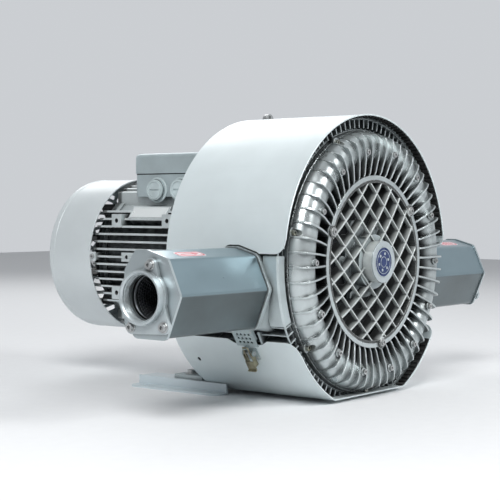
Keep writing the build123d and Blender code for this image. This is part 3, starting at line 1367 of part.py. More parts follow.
# ---------------------------------------------------------------- terminal box
def box_prism(z0, z1, grow=0.0):
    """Rounded box section from above, between two heights."""
    width = 2 * (BOX_HALF_WIDTH + grow)
    length = BOX_LENGTH + 2 * grow
    sketch = RectangleRounded(width, length, BOX_CORNER + grow)
    return Pos(0, BOX_START_Y + BOX_LENGTH / 2, z0) * extrude(sketch, z1 - z0)


def terminal_box():
    body = box_prism(BOX_BOTTOM_Z, BOX_TOP_Z)
    body -= along_y(FRAME_FIN_RADIUS + 1, BOX_START_Y - 1, BOX_START_Y + BOX_LENGTH + 1)
    inside = box_prism(BOX_BOTTOM_Z + BOX_WALL, BOX_TOP_Z + 1, -BOX_WALL)
    inside -= along_y(FRAME_FIN_RADIUS + 1 + BOX_WALL, BOX_START_Y - 1, BOX_START_Y + BOX_LENGTH + 1)
    body -= inside
    body -= box_seat(SEAT, BOX_BOTTOM_Z)
    seat = nameplate_seat(FRAME_FIN_RADIUS + 2, 40, NAMEPLATE_LENGTH + 10, NAMEPLATE_WIDTH + 8)
    body -= [seat, mirrored(seat)]
    corners = []
    holes = []
    for x, y in lid_screw_places():
        corners.append(along_z(LID_POST_RADIUS, BOX_TOP_Z - 22, BOX_TOP_Z, x, y))
        holes.append(along_z(LID_TAPPING, BOX_TOP_Z - 16, BOX_TOP_Z + 1, x, y))
    body += corners
    boss_end = -BOX_HALF_WIDTH - ENTRY_BOSS_LENGTH
    for y in ENTRY_PLACES_Y:
        body += along_x(ENTRY_RADIUS, boss_end, -BOX_HALF_WIDTH, y, ENTRY_Z)
        hole_end = -BOX_HALF_WIDTH + BOX_WALL + 1
        holes.append(along_x(ENTRY_RADIUS - ENTRY_WALL, boss_end - 1, hole_end, y, ENTRY_Z))
    return body - holes


def lid_screw_places():
    x = BOX_HALF_WIDTH - LID_SCREW_INSET
    y0 = BOX_START_Y + LID_SCREW_INSET
    y1 = BOX_START_Y + BOX_LENGTH - LID_SCREW_INSET
    return [(-x, y0), (x, y0), (-x, y1), (x, y1)]


def lid_gasket():
    return box_prism(BOX_TOP_Z, BOX_TOP_Z + LID_GASKET) - box_prism(BOX_TOP_Z - 1, BOX_TOP_Z + 3, -BOX_WALL)


def terminal_lid():
    bottom = BOX_TOP_Z + LID_GASKET
    lid = box_prism(bottom, LID_TOP_Z, LID_LIP)
    lid = fillet(lid.edges().group_by(Axis.Z)[-1], LID_ROUND)
    lid -= box_prism(bottom - 1, LID_TOP_Z - BOX_WALL, -BOX_WALL)
    posts = []
    holes = []
    for x, y in lid_screw_places():
        posts.append(along_z(LID_POST_RADIUS, bottom, LID_TOP_Z - 2, x, y))
        holes.append(along_z(LID_HOLE, bottom - 1, LID_TOP_Z + 1, x, y))
        holes.append(along_z(LID_RECESS_RADIUS, LID_TOP_Z - LID_RECESS_DEPTH, LID_TOP_Z + 1, x, y))
    return lid + posts - holes


def lid_screws():
    seat = LID_TOP_Z - LID_RECESS_DEPTH
    screw = cap_screw(LID_SCREW_SHANK, LID_SCREW_HEAD, LID_SCREW_HEIGHT, seat - BOX_TOP_Z + 14)
    return [Pos(x, y, seat) * screw for x, y in lid_screw_places()]


def terminal_block():
    floor = FRAME_FIN_RADIUS + 1 + BOX_WALL
    middle = BOX_START_Y + BOX_LENGTH / 2
    top = floor + BLOCK_HEIGHT
    ends = (middle - BLOCK_HALF_LENGTH, middle + BLOCK_HALF_LENGTH)
    body = block(-BLOCK_HALF_WIDTH, BLOCK_HALF_WIDTH, *ends, floor, top)
    studs = [
        along_z(STUD_RADIUS, top, top + STUD_LENGTH, STUD_PITCH * column, middle + STUD_ROW * row)
        for column in (-1, 0, 1)
        for row in (-1, 1)
    ]
    return body + studs


def cable_plugs():
    """Blanking plugs in the two cable entries."""
    plugs = []
    seat = -BOX_HALF_WIDTH - ENTRY_BOSS_LENGTH
    face = seat - PLUG_HEAD_LENGTH
    for y in ENTRY_PLACES_Y:
        head = along_x(ENTRY_RADIUS - 1, face, seat, y, ENTRY_Z)
        stem = along_x(ENTRY_RADIUS - ENTRY_WALL - SEAT, seat, -BOX_HALF_WIDTH + 3, y, ENTRY_Z)
        slot = block(
            face - 1,
            face + 2,
            y - PLUG_SLOT_HALF_LENGTH,
            y + PLUG_SLOT_HALF_LENGTH,
            ENTRY_Z - PLUG_SLOT_HALF_WIDTH,
            ENTRY_Z + PLUG_SLOT_HALF_WIDTH,
        )
        plugs.append(head + stem - slot)
    return plugs


# ---------------------------------------------------------------- feet and eye
def foot_rail():
    """Bent sheet rail under the left leg."""
    back = RAIL_FRONT_Y + RAIL_LENGTH
    web_inner = RAIL_WEB_X - RAIL_SHEET
    base = block(-RAIL_OUTER_X, -web_inner, RAIL_FRONT_Y, back, FLOOR_Z, FLOOR_Z + RAIL_SHEET)
    corners = base.edges().filter_by(Axis.Z).group_by(Axis.X)[0]
    base = fillet(corners, RAIL_CORNER)
    web = block(-RAIL_WEB_X, -web_inner, RAIL_FRONT_Y, back, FLOOR_Z, RAIL_TOP_Z)
    top = block(-RAIL_WEB_X, -RAIL_INNER_X, RAIL_TOP_FRONT_Y, back - 6, RAIL_TOP_Z - RAIL_SHEET, RAIL_TOP_Z)
    body = base + web + top
    holes = [
        along_z(FOOT_HOLE_RADIUS, FLOOR_Z - 1, FLOOR_Z + RAIL_SHEET + 1, -FOOT_HOLE_X, y)
        for y in (FOOT_CENTRE_Y - FOOT_HOLE_PITCH / 2, FOOT_CENTRE_Y + FOOT_HOLE_PITCH / 2)
    ]
    top_under = RAIL_TOP_Z - RAIL_SHEET
    holes.append(along_z(LEG_BOLT_HOLE, top_under - 1, RAIL_TOP_Z + 1, -LEG_SCREW_X, LEG_SCREW_Y))
    return body - holes


def leg_screws():
    """Bolt and nut that hold each leg to its rail."""
    pad_top = RAIL_TOP_Z + LEG_PAD_THICKNESS
    length = LEG_PAD_THICKNESS + RAIL_SHEET + 8
    screw = cap_screw(LEG_BOLT_RADIUS, LEG_BOLT_HEAD, LEG_BOLT_HEIGHT, length)
    bolt = Pos(-LEG_SCREW_X, LEG_SCREW_Y, pad_top) * screw
    nut_bottom = RAIL_TOP_Z - RAIL_SHEET - LEG_NUT_HEIGHT
    hexagon = extrude(RegularPolygon(LEG_BOLT_HEAD, 6), LEG_NUT_HEIGHT)
    nut = Pos(-LEG_SCREW_X, LEG_SCREW_Y, nut_bottom) * hexagon
    fastener = bolt + nut
    return [fastener, mirrored(fastener)]


def lifting_eye():
    seat = WRAP_RADIUS - WRAP_SHEET - SEAT - 1
    stud = along_z(EYE_STUD_RADIUS, seat - EYE_STUD_LENGTH, seat, 0, EYE_Y)
    collar = along_z(EYE_BOSS_RADIUS - 1, seat, seat + EYE_COLLAR, 0, EYE_Y)
    centre = EYE_TOP - EYE_WIDTH / 2
    lug = along_y(EYE_WIDTH / 2, EYE_Y - EYE_THICKNESS / 2, EYE_Y + EYE_THICKNESS / 2, 0, centre)
    ends = (EYE_Y - EYE_WIDTH, EYE_Y + EYE_WIDTH)
    lug -= block(-EYE_WIDTH, EYE_WIDTH, *ends, seat - EYE_WIDTH, seat + EYE_COLLAR)
    lug -= along_y(EYE_HOLE, EYE_Y - EYE_WIDTH, EYE_Y + EYE_WIDTH, 0, EYE_HOLE_Z)
    return stud + collar + lug


# ---------------------------------------------------------------- write every node
def write_pairs():
    """Left pieces and their mirrored twins."""
    pairs = {
        "silencer_body": silencer_body(),
        "silencer_end": silencer_end(),
        "silencer_foam": silencer_foam(),
        "port_flange": port_flange(),
        "port_tube": port_tube(),
        "latch_base": latch_base(),
        "latch_lever": latch_lever(),
        "latch_bail": latch_bail(),
        "latch_keeper": latch_keeper(),
        "foot_rail": foot_rail(),
    }
    for name, piece in pairs.items():
        save(f"{name}_left", piece)
        save(f"{name}_right", mirrored(piece))


def write_singles():
    save("front_cover", front_cover())
    save("cover_screws", *cover_screws())
    save("rim_screws", *rim_screws())
    save("front_grille", front_grille())
    save("grille_screws", *grille_screws())
    save("hub_cap", hub_cap())
    save("hub_badge", hub_badge())
    save("front_bearing_flange", front_bearing_flange())
    save("flange_screws", *flange_screws())
    save("middle_housing", middle_housing())
    save("rear_housing", rear_housing())
    save("impeller_front", impeller())
    save("impeller_rear", impeller(front=False))
    save("motor_shaft", motor_shaft())
    save("rotor_core", rotor_core())
    save("cooling_fan", cooling_fan())
    save("bearings", *bearings())
    save("shaft_seal", shaft_seal())
    save("wrap_upper", wrap_upper())
    save("wrap_lower", wrap_lower())
    save("silencer_gaskets", silencer_gasket(), mirrored(silencer_gasket()))
    port_screw_group = port_screws()
    save("port_screws", *port_screw_group, *[mirrored(screw) for screw in port_screw_group])
    save("motor_frame", motor_frame())
    save("nameplate", nameplate())
    save("rear_end_shield", rear_end_shield())
    save("stator_core", stator_core())
    save("stator_windings", *stator_windings())
    save("fan_cover", fan_cover())
    save("fan_cover_screws", *fan_cover_screws())
    save("terminal_box", terminal_box())
    save("lid_gasket", lid_gasket())
    save("terminal_lid", terminal_lid())
    save("lid_screws", *lid_screws())
    save("terminal_block", terminal_block())
    save("cable_plugs", *cable_plugs())
    save("leg_screws", *leg_screws())
    save("lifting_eye", lifting_eye())
    save("latch_pins", latch_pin(), mirrored(latch_pin()))


os.makedirs("parts", exist_ok=True)
write_pairs()
write_singles()
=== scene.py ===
"""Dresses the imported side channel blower: materials, fine pieces, studio and camera."""
import json
import math

import bmesh
import bpy
from mathutils import Matrix, Vector


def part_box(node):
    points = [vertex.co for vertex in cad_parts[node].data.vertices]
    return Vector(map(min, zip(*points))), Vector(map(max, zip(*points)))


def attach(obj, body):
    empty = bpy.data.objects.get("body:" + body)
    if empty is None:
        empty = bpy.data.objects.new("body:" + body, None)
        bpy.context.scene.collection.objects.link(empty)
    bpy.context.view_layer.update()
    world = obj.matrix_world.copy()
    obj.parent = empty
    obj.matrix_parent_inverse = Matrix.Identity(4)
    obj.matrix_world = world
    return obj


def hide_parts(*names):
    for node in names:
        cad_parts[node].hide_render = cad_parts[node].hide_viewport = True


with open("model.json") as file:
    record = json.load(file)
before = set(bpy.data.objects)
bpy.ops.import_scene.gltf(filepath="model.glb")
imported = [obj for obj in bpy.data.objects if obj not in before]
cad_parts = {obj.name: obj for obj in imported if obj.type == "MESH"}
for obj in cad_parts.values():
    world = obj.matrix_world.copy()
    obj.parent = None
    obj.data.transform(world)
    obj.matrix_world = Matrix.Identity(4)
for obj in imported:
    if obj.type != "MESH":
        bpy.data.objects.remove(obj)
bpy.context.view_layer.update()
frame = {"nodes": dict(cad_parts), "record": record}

MM = 0.001
NODES = frame["nodes"]

# ---------------------------------------------------------------- places, in metres
AXIS_Z = 0.25                      # shaft height
COVER_Y = -0.32                    # plane of the front cover's rim
PORT_Y = -0.235
PORT_Z = 0.206
SIDES = (("left", -1), ("right", 1))

# spans over which a mask in the paint goes from 0 to 1: radii about the shaft or places along it
END_PLATE_X = (0.49485, 0.49495)   # where the silencer's shell ends and its end plate starts
VALLEY_OUTER = (0.208, 0.184)      # painted shade in the valleys between the cover's inner ribs
VALLEY_INNER = (0.1585, 0.160)
VALLEY_Y = (-0.346, -0.334)
ROOM_RADIUS = (0.1496, 0.1486)     # room behind the grille, painted in shade
ROOM_Y = (-0.3425, -0.338)
VANE_Y = (-0.3425, -0.330)
BORDER_RADIUS = (0.1445, 0.1450)   # grille's outer border, painted in shade
FIN_SHADOW_Y = (0.2215, 0.2255)    # motor fins under the fan cover's edge

# the dimensions below are in millimetres, places along the shaft counted back from the cover's rim
COVER_OFFSET = 320.0               # from the cover's rim back to the middle of the part's frame
WRAP_R = 269.5
WRAP_FRONT = -14.0
WRAP_ARCS = ((9.4, 170.6), (215.4, 244.4), (295.6, 324.6))  # front edge between its round corners
HEM_DEPTH = 0.75                   # middle of the wrap's sheet below its outside
HEM_RADIUS = 1.5
# dark ribbed strip inside the wrap's front edge: painted reflection of the housing's fins in the wrap
STRIPES_OUTER = 267.9
STRIPES_BASE = 266.6
STRIPES_TOOTH = 264.6
STRIPES_FRONT = -12.6
STRIPES_BACK = 2.2
STRIPES_PITCH = 2.3                 # degrees from tooth to tooth
STRIPES_TOOTH_SHARE = 0.45
GRILLE_SCREW_CIRCLE = 151.0
GRILLE_SCREW_START = 38.0
GRILLE_SCREW_COUNT = 3
GRILLE_SCREW_SEAT = -26.0
GRILLE_WASHER = (5.1, 8.0, 1.0)    # washers: inner radius, outer radius, thickness
PORT_WASHER = (6.6, 9.0, 1.4)
LEG_WASHER = (7.6, 11.5, 1.6)
WASHER_CHAMFER = 0.4
WASHER_STRAIGHT = 0.7              # share of the thickness below the chamfer
HUB_FACE = -41.0
BADGE_RINGS = ((27.4, 0.9), (21.5, 0.45), (9.5, 0.45))  # radius and half width
BADGE_RELIEF = (0.1, -0.35)        # back and front of a ring, from the disc's face
STUD_COUNT = 6
STUD_START = 15
STUD_CIRCLE = 15.4
STUD_PROFILE = ((0.01, -0.1), (2.6, -0.1), (2.6, 0.25), (2.0, 0.4), (0.01, 0.4))
PORT_R = 37.6
PORT_SEAT = 507.0
PORT_SCREWS = ((-14.0, 52.0), (27.0, -48.0), (-42.0, -45.0))
THREAD_START = 502.6
THREAD_DEPTH = 1.4
THREAD_PITCH = 2.309
THREAD_TURNS = 5
THREAD_STEPS = 72                  # steps in a turn
THREAD_FADE = 12                   # steps over which the thread starts and ends
THREAD_ROOT = 0.2                  # thread's root inside the wall of the port
THREAD_HALF = 0.48                 # half of the ridge's width, as a share of the pitch
THREAD_END = 0.02                  # share of the depth left at the thread's end
TUBE_MID = 35.25
TUBE_SHEET = 1.5
TUBE_HOLES_ROUND = 40
TUBE_PITCH = 5.6
TUBE_PLAIN_ENDS = 4                # plain length kept in all at the tube's ends
TUBE_HOLE = 0.32                   # hole's radius, as a share of the pitch
FOAM_SPAN = (275.0, 486.0)
FOAM_BORE = 37.4
FOAM_GAP = 4.2                     # from the silencer's outside to the foam
SIDEWAYS = 0.05                    # a face turned further away than this is not met
FOAM_STEPS = 120
FOAM_CELLS = 70
FOAM_PIT = 0.35                    # half of a pit's greatest depth
FOAM_SCATTER = (12.9898, 78.233)   # scatters the pits' depths round and along the bore
SECTION = ((-68, 4), (-42, 61), (0, 73), (23, 73), (46, 41), (46, -42), (23, -64), (-40, -64))
SEAM_X = 46.0                      # rear face of the silencer, where the lock seam lies
SEAM_Y = -16.0
SEAM_SECTION = ((-1.0, 0.0), (1.2, 0.0), (1.2, 12.0), (-1.0, 12.0))
SEAM_PLACES = ((276.0, 0.4), (278.0, 1.0), (492.0, 1.0), (494.0, 0.4))  # place and thickness share
LABEL_X = 420.0
LABEL_SIZE = (66.0, 22.0, 7.0)     # label and its outline: length, height, corner radius
LABEL_RIM_OUTER = (62.0, 18.0, 6.0)
LABEL_RIM_INNER = (57.0, 13.0, 4.0)
LABEL_BACK = 0.02
LABEL_FACE = 0.20
LABEL_INK = 0.32
ARROW = ((-23, -1.6), (8, -1.6), (8, -4.6), (22, 0), (8, 4.6), (8, 1.6), (-23, 1.6))
NAMEPLATE_TURN = 144.0
NAMEPLATE_Y = 426.0
NAMEPLATE_FACE = 151.0
NAMEPLATE_BORDER_OUTER = (89.0, 21.0, 2.0)
NAMEPLATE_BORDER_INNER = (86.4, 18.4, 1.2)
NAMEPLATE_BORDER_HEIGHT = 0.35
NAMEPLATE_RIVET_X = 41.0
ENTRY_Y = (368.0, 431.0)
ENTRY_Z = 133.0                    # height of the cable entries over the shaft
SEAL_RADIUS = 20.4
SEAL_PLACE = 98.0
SEAL_THICKNESS = 0.9
PLUG_RIM = ((15.6, 102.8), (18.6, 102.8), (18.2, 104.4), (16.0, 104.4))
PLUG_COLLAR = ((21.3, 92.2), (25.5, 92.2), (25.5, 93.2), (24.5, 94.2), (21.3, 94.2))
COVER_R = 156.5
FAN_FRONT = 556.0
FAN_BEAD = 0.9
FAN_BEAD_INSET = 0.5
FAN_RIDGE = 1.5
FAN_RIDGE_INSET = 0.8
FAN_RIDGE_BACK = 104.0             # ridge behind the fan cover's front edge
LATCH_TURN = 214.4
LATCH_SHIFT = 0.007                # latch behind the port's plane, metres
BASE_RIVETS = ((13.5, -10.5), (13.5, 10.5), (16.0, 0.0))
BASE_RIVET_SEAT = 1.8
BASE_RIVET_HEAD = (2.2, 1.3)       # rivet heads: radius and height
KEEPER_RIVETS = ((-44.0, -19.5), (-44.0, 19.5))
KEEPER_RIVET_SEAT = 3.0
KEEPER_RIVET_HEAD = (2.0, 0.9)
NAMEPLATE_RIVET_HEAD = (2.4, 1.3)
SPRING_RADIUS = 3.0
SPRING_WIRE = 0.45
SPRING_HALF = 3.2                  # half of the spring's length
SPRING_COILS = 5
SPRING_STEPS = 16
SPRING_HEIGHT = 7.0
GASKET_EDGE = ((238.0, 9.6), (240.9, 9.6), (240.9, 10.4), (238.0, 10.4))
SHROUD_PROFILE = (
    (246.0, 2.6),
    (262.5, 2.6),
    (265.0, 5.2),
    (265.0, 34.0),
    (263.8, 34.0),
    (263.8, 6.0),
    (262.0, 3.9),
    (246.0, 3.9),
)
SHROUD_ARCS = ((176.4, 203.4), (-23.4, 3.6))
LEG_SCREW_X = 118.0
LEG_SCREW_SEAT = 28.0

# camera: where the photographer stood
CAMERA_PLACE = (-1.99419, -1.61026, 0.34717)
CAMERA_AZIMUTH = -51.98
CAMERA_ELEVATION = 1.86
CAMERA_ROLL = 0.16
CAMERA_LENS = 92.43
CAMERA_SENSOR = 36.0
CAMERA_REACH = 50.0

# studio, in metres and watts
FLOOR_HALF = 6.0
FLOOR_COLOR = (0.80, 0.81, 0.82, 1.0)
WORLD_COLOR = (0.88, 0.91, 0.95, 1.0)
WORLD_BRIGHT_SIDE = (0.788, 0.616, 0.0)
WORLD_BLEND = (("From Min", -0.5), ("From Max", 0.7), ("To Min", 0.20), ("To Max", 0.68))
LAMPS = (                          # name, place, aim, size, power
    ("key", (-2.4, -1.5, 2.8), (0.0, -0.1, 0.3), 1.5, 96.0),
    ("front_fill", (0.6, -3.0, 2.0), (0.0, -0.3, 0.25), 1.2, 52.0),
    ("back_rim", (1.8, 2.2, 2.4), (0.0, 0.1, 0.3), 2.0, 30.0),
)


# ---------------------------------------------------------------- material toolkit
class Shader:
    """A material's node tree with short calls for the nodes used here."""

    def __init__(self, name):
        self.material = bpy.data.materials.new(name)
        self.material.use_nodes = True
        self.tree = self.material.node_tree
        self.tree.nodes.clear()
        self.output = self.add("ShaderNodeOutputMaterial")
        self.shader = self.add("ShaderNodeBsdfPrincipled")
        self.link(self.shader.outputs["BSDF"], self.output.inputs["Surface"])
        self.place = self.add("ShaderNodeTexCoord").outputs["Object"]

    def add(self, kind, **settings):
        node = self.tree.nodes.new(kind)
        for key, value in settings.items():
            setattr(node, key, value)
        return node

    def link(self, source, target):
        self.tree.links.new(source, target)

    def set(self, **values):
        for key, value in values.items():
            socket = self.shader.inputs[key.replace("_", " ")]
            socket.default_value = value

    def stretched(self, scale):
        node = self.add("ShaderNodeMapping")
        node.inputs["Scale"].default_value = scale
        self.link(self.place, node.inputs["Vector"])
        return node.outputs["Vector"]

    def noise(self, scale, detail=3.0, roughness=0.5, vector=None):
        node = self.add("ShaderNodeTexNoise")
        node.inputs["Scale"].default_value = scale
        node.inputs["Detail"].default_value = detail
        node.inputs["Roughness"].default_value = roughness
        self.link(vector or self.place, node.inputs["Vector"])
        return node.outputs["Fac"]

    def cells(self, scale, feature="F1", vector=None):
        node = self.add("ShaderNodeTexVoronoi", feature=feature)
        node.inputs["Scale"].default_value = scale
        self.link(vector or self.place, node.inputs["Vector"])
        return node.outputs["Distance"]

    def span(self, value, low, high, to_low=0.0, to_high=1.0):
        node = self.add("ShaderNodeMapRange")
        node.inputs["From Min"].default_value = low
        node.inputs["From Max"].default_value = high
        node.inputs["To Min"].default_value = to_low
        node.inputs["To Max"].default_value = to_high
        self.link(value, node.inputs["Value"])
        return node.outputs["Result"]

    def math(self, operation, first, second):
        node = self.add("ShaderNodeMath", operation=operation)
        for socket, value in zip(node.inputs, (first, second)):
            if isinstance(value, (int, float)):
                socket.default_value = value
            else:
                self.link(value, socket)
        return node.outputs["Value"]

    def mix(self, factor, first, second):
        """Mix of two colours. The node's sockets share their names, so they go by place."""
        node = self.add("ShaderNodeMix", data_type="RGBA")
        sockets = (node.inputs[0], node.inputs[6], node.inputs[7])
        for socket, value in zip(sockets, (factor, first, second)):
            if isinstance(value, (int, float, tuple)):
                socket.default_value = value
            else:
                self.link(value, socket)
        return node.outputs[2]

    def bump(self, height, distance, strength=1.0, below=None):
        node = self.add("ShaderNodeBump")
        node.inputs["Strength"].default_value = strength
        node.inputs["Distance"].default_value = distance
        self.link(height, node.inputs["Height"])
        if below is not None:
            self.link(below, node.inputs["Normal"])
        return node.outputs["Normal"]

    def rounded(self, radius):
        node = self.add("ShaderNodeBevel", samples=4)
        node.inputs["Radius"].default_value = radius
        return node.outputs["Normal"]

    def edge_wear(self, radius):
        """1 on sharp edges, 0 on flats."""
        soft = self.rounded(radius)
        hard = self.add("ShaderNodeNewGeometry").outputs["Normal"]
        dot = self.add("ShaderNodeVectorMath", operation="DOT_PRODUCT")
        self.link(soft, dot.inputs[0])
        self.link(hard, dot.inputs[1])
        return self.span(dot.outputs["Value"], 0.995, 0.90)

    def crevice(self, distance):
        """1 deep in a recess, 0 in the open: the mask for painted shade in recesses."""
        node = self.add("ShaderNodeAmbientOcclusion", samples=8)
        node.inputs["Distance"].default_value = distance
        return self.span(node.outputs["AO"], 0.85, 0.25)

    def from_shaft(self):
        """Distance from the shaft's axis, in metres."""
        offset = self.add("ShaderNodeVectorMath", operation="SUBTRACT")
        offset.inputs[1].default_value = (0.0, 0.0, AXIS_Z)
        self.link(self.place, offset.inputs[0])
        flat = self.add("ShaderNodeVectorMath", operation="MULTIPLY")
        flat.inputs[1].default_value = (1.0, 0.0, 1.0)
        self.link(offset.outputs["Vector"], flat.inputs[0])
        length = self.add("ShaderNodeVectorMath", operation="LENGTH")
        self.link(flat.outputs["Vector"], length.inputs[0])
        return length.outputs["Value"]

    def part_of(self, vector, axis):
        """One coordinate of a vector."""
        split = self.add("ShaderNodeSeparateXYZ")
        self.link(vector, split.inputs["Vector"])
        return split.outputs[axis]

    def along_shaft(self):
        """Place along the shaft, in metres."""
        return self.part_of(self.place, "Y")

    def tilt(self):
        """Height of the surface's normal: 1 looks up, -1 looks down."""
        return self.part_of(self.add("ShaderNodeNewGeometry").outputs["Normal"], "Z")

    def downward(self):
        """1 on faces that look down, 0 on upright ones."""
        return self.span(self.tilt(), 0.05, -0.25)

    def upward(self):
        """1 on faces that look up, where dust lies."""
        return self.span(self.tilt(), 0.55, 1.0)


def shade(color, factor):
    """A colour made lighter or darker."""
    return tuple(min(1.0, channel * factor) for channel in color[:3]) + (1.0,)


def srgb(red, green, blue):
    """Linear colour from the usual 0 to 255 values."""
    def linear(value):
        value /= 255.0
        return value / 12.92 if value <= 0.04045 else ((value + 0.055) / 1.055) ** 2.4
    return linear(red), linear(green), linear(blue), 1.0


def smooth_paint(name, color, roughness=0.34, metallic=0.25, peel=0.00005, dirt_and_shade=0.12, masks=None):
    """Sprayed metallic paint on sheet: faint orange peel, mottling and dust."""
    shader = Shader(name)
    cloud = shader.noise(9.0, 4.0)
    base = shader.mix(shader.span(cloud, 0.35, 0.7), shade(color, 0.96), shade(color, 1.04))
    fleck = shader.noise(2200.0, 1.0)
    base = shader.mix(shader.span(fleck, 0.55, 0.75, 0.0, 0.10), base, shade(color, 1.35))
    smear = shader.noise(6.0, 5.0, 0.7, shader.stretched((1.0, 0.35, 3.0)))
    base = shader.mix(shader.span(smear, 0.55, 0.8, 0.0, dirt_and_shade), base, shade(color, 0.72))
    if masks:
        base = masks(shader, base, color)
    shader.link(base, shader.shader.inputs["Base Color"])
    rough = shader.span(smear, 0.3, 0.8, roughness, roughness + 0.14)
    shader.link(rough, shader.shader.inputs["Roughness"])
    shader.set(Metallic=metallic, Coat_Weight=0.25, Coat_Roughness=0.18)
    height = shader.noise(420.0, 2.0)
    shader.link(shader.bump(height, peel, 0.8), shader.shader.inputs["Normal"])
    return shader.material


def silencer_masks(shader, base, color):
    """Bare cast end plates with painted shade in their recesses, and painted shade on the faces that
    look down.
    """
    across = shader.math("ABSOLUTE", shader.part_of(shader.place, "X"), 0.0)
    drift = shader.span(shader.noise(7.0, 4.0), 0.3, 0.7, 0.75, 1.0)
    # painted shade on the faces that look down
    underside_shade = shader.math("MULTIPLY", shader.downward(), drift)
    base = shader.mix(shader.math("MULTIPLY", underside_shade, 0.85), base, (0.060, 0.068, 0.066, 1.0))
    # painted shade in the end plate's recesses
    plate_recess_shade = shader.math("MULTIPLY", shader.crevice(0.012), 0.9)
    bare_plate = shader.mix(plate_recess_shade, srgb(190, 200, 203), (0.03, 0.03, 0.03, 1.0))
    return shader.mix(shader.span(across, *END_PLATE_X), base, bare_plate)


def cast_paint(
    name, color, roughness=0.42, metallic=0.45, grain=0.00022, dirt_and_shade=0.7, reach=0.020, masks=None
):
    """Silver paint on rough cast aluminium, with painted shade in its recesses, rubbed bright on its
    edges.
    """
    shader = Shader(name)
    cloud = shader.noise(14.0, 5.0, 0.6)
    base = shader.mix(shader.span(cloud, 0.3, 0.7), shade(color, 0.88), shade(color, 1.08))
    fleck = shader.noise(1500.0, 1.0)
    base = shader.mix(shader.span(fleck, 0.55, 0.75, 0.0, 0.16), base, shade(color, 1.4))
    if masks:
        base = masks(shader, base, color)
    drift = shader.span(shader.noise(60.0), 0.2, 0.6, 0.7, 1.0)
    # painted shade: recesses darkened towards near black by ambient occlusion
    recess_shade = shader.math("MULTIPLY", shader.crevice(reach), drift)
    base = shader.mix(shader.math("MULTIPLY", recess_shade, dirt_and_shade), base, shade(color, 0.07))
    rubbed = shader.span(shader.noise(170.0), 0.35, 0.6)
    worn = shader.math("MULTIPLY", shader.edge_wear(0.0014), rubbed)
    base = shader.mix(shader.math("MULTIPLY", worn, 0.7), base, shade(color, 1.5))
    shader.link(base, shader.shader.inputs["Base Color"])
    rough = shader.span(cloud, 0.3, 0.7, roughness - 0.04, roughness + 0.12)
    shader.link(rough, shader.shader.inputs["Roughness"])
    shader.set(Metallic=metallic)
    pores = shader.math("MULTIPLY", shader.cells(520.0), 0.4)
    skin = shader.math("ADD", shader.noise(330.0, 4.0, 0.65), pores)
    normal = shader.bump(skin, grain, 0.7, shader.rounded(0.0016))
    shader.link(normal, shader.shader.inputs["Normal"])
    return shader.material


def cover_masks(shader, base, color):
    """Painted shade in the room behind the grille and in the valleys between the ribs near the ring.
    """
    radius = shader.from_shaft()
    patch = shader.noise(26.0, 5.0, 0.6)
    outer_end = shader.span(radius, *VALLEY_OUTER)
    valley = shader.math("MULTIPLY", outer_end, shader.span(radius, *VALLEY_INNER))
    deep = shader.math("MULTIPLY", valley, shader.span(shader.along_shaft(), *VALLEY_Y))
    uneven = shader.span(patch, 0.3, 0.7, 0.84, 1.0)
    # painted shade: the valleys near the ring darkened almost to black
    base = shader.mix(shader.math("MULTIPLY", deep, uneven), base, shade(color, 0.035))
    # painted shade: the room behind the grille painted near black
    behind = shader.span(shader.along_shaft(), *ROOM_Y)
    inside = shader.math("MULTIPLY", shader.span(radius, *ROOM_RADIUS), behind)
    black, shade_grey = (0.006, 0.007, 0.008, 1.0), (0.022, 0.024, 0.026, 1.0)
    room_shade = shader.mix(shader.span(patch, 0.3, 0.7), black, shade_grey)
    return shader.mix(inside, base, room_shade)


def motor_masks(shader, base, color):
    """Fins fall into shadow under the fan cover's edge."""
    back = shader.span(shader.along_shaft(), *FIN_SHADOW_Y)
    return shader.mix(shader.math("MULTIPLY", back, 0.80), base, shade(color, 0.06))


def grille_masks(shader, base, color):
    """Painted shade on the vanes, deepening towards the room behind them, and on the grille's outer
    border.
    """
    depth = shader.math("MULTIPLY", shader.span(shader.along_shaft(), *VANE_Y), 0.90)
    border = shader.math("MULTIPLY", shader.span(shader.from_shaft(), *BORDER_RADIUS), 0.92)
    return shader.mix(shader.math("MAXIMUM", depth, border), base, shade(color, 0.05))


def turned_metal(name, color, roughness=0.24, metallic=1.0):
    """Bare metal turned on a lathe about the shaft axis, with fine rings and painted shade in its
    recesses.
    """
    shader = Shader(name)
    ring = shader.add("ShaderNodeTexNoise", noise_dimensions="1D")
    ring.inputs["Scale"].default_value = 2600.0
    shader.link(shader.from_shaft(), ring.inputs["W"])
    streak = ring.outputs["Fac"]
    cloud = shader.noise(25.0, 4.0)
    base = shader.mix(shader.span(cloud, 0.3, 0.7), shade(color, 0.86), shade(color, 1.08))
    # painted shade in the recesses
    base = shader.mix(shader.math("MULTIPLY", shader.crevice(0.008), 0.4), base, shade(color, 0.35))
    shader.link(base, shader.shader.inputs["Base Color"])
    rough = shader.span(streak, 0.3, 0.7, roughness, roughness + 0.18)
    shader.link(rough, shader.shader.inputs["Roughness"])
    shader.set(Metallic=metallic)
    normal = shader.bump(streak, 0.00002, 0.6, shader.rounded(0.0005))
    shader.link(normal, shader.shader.inputs["Normal"])
    return shader.material


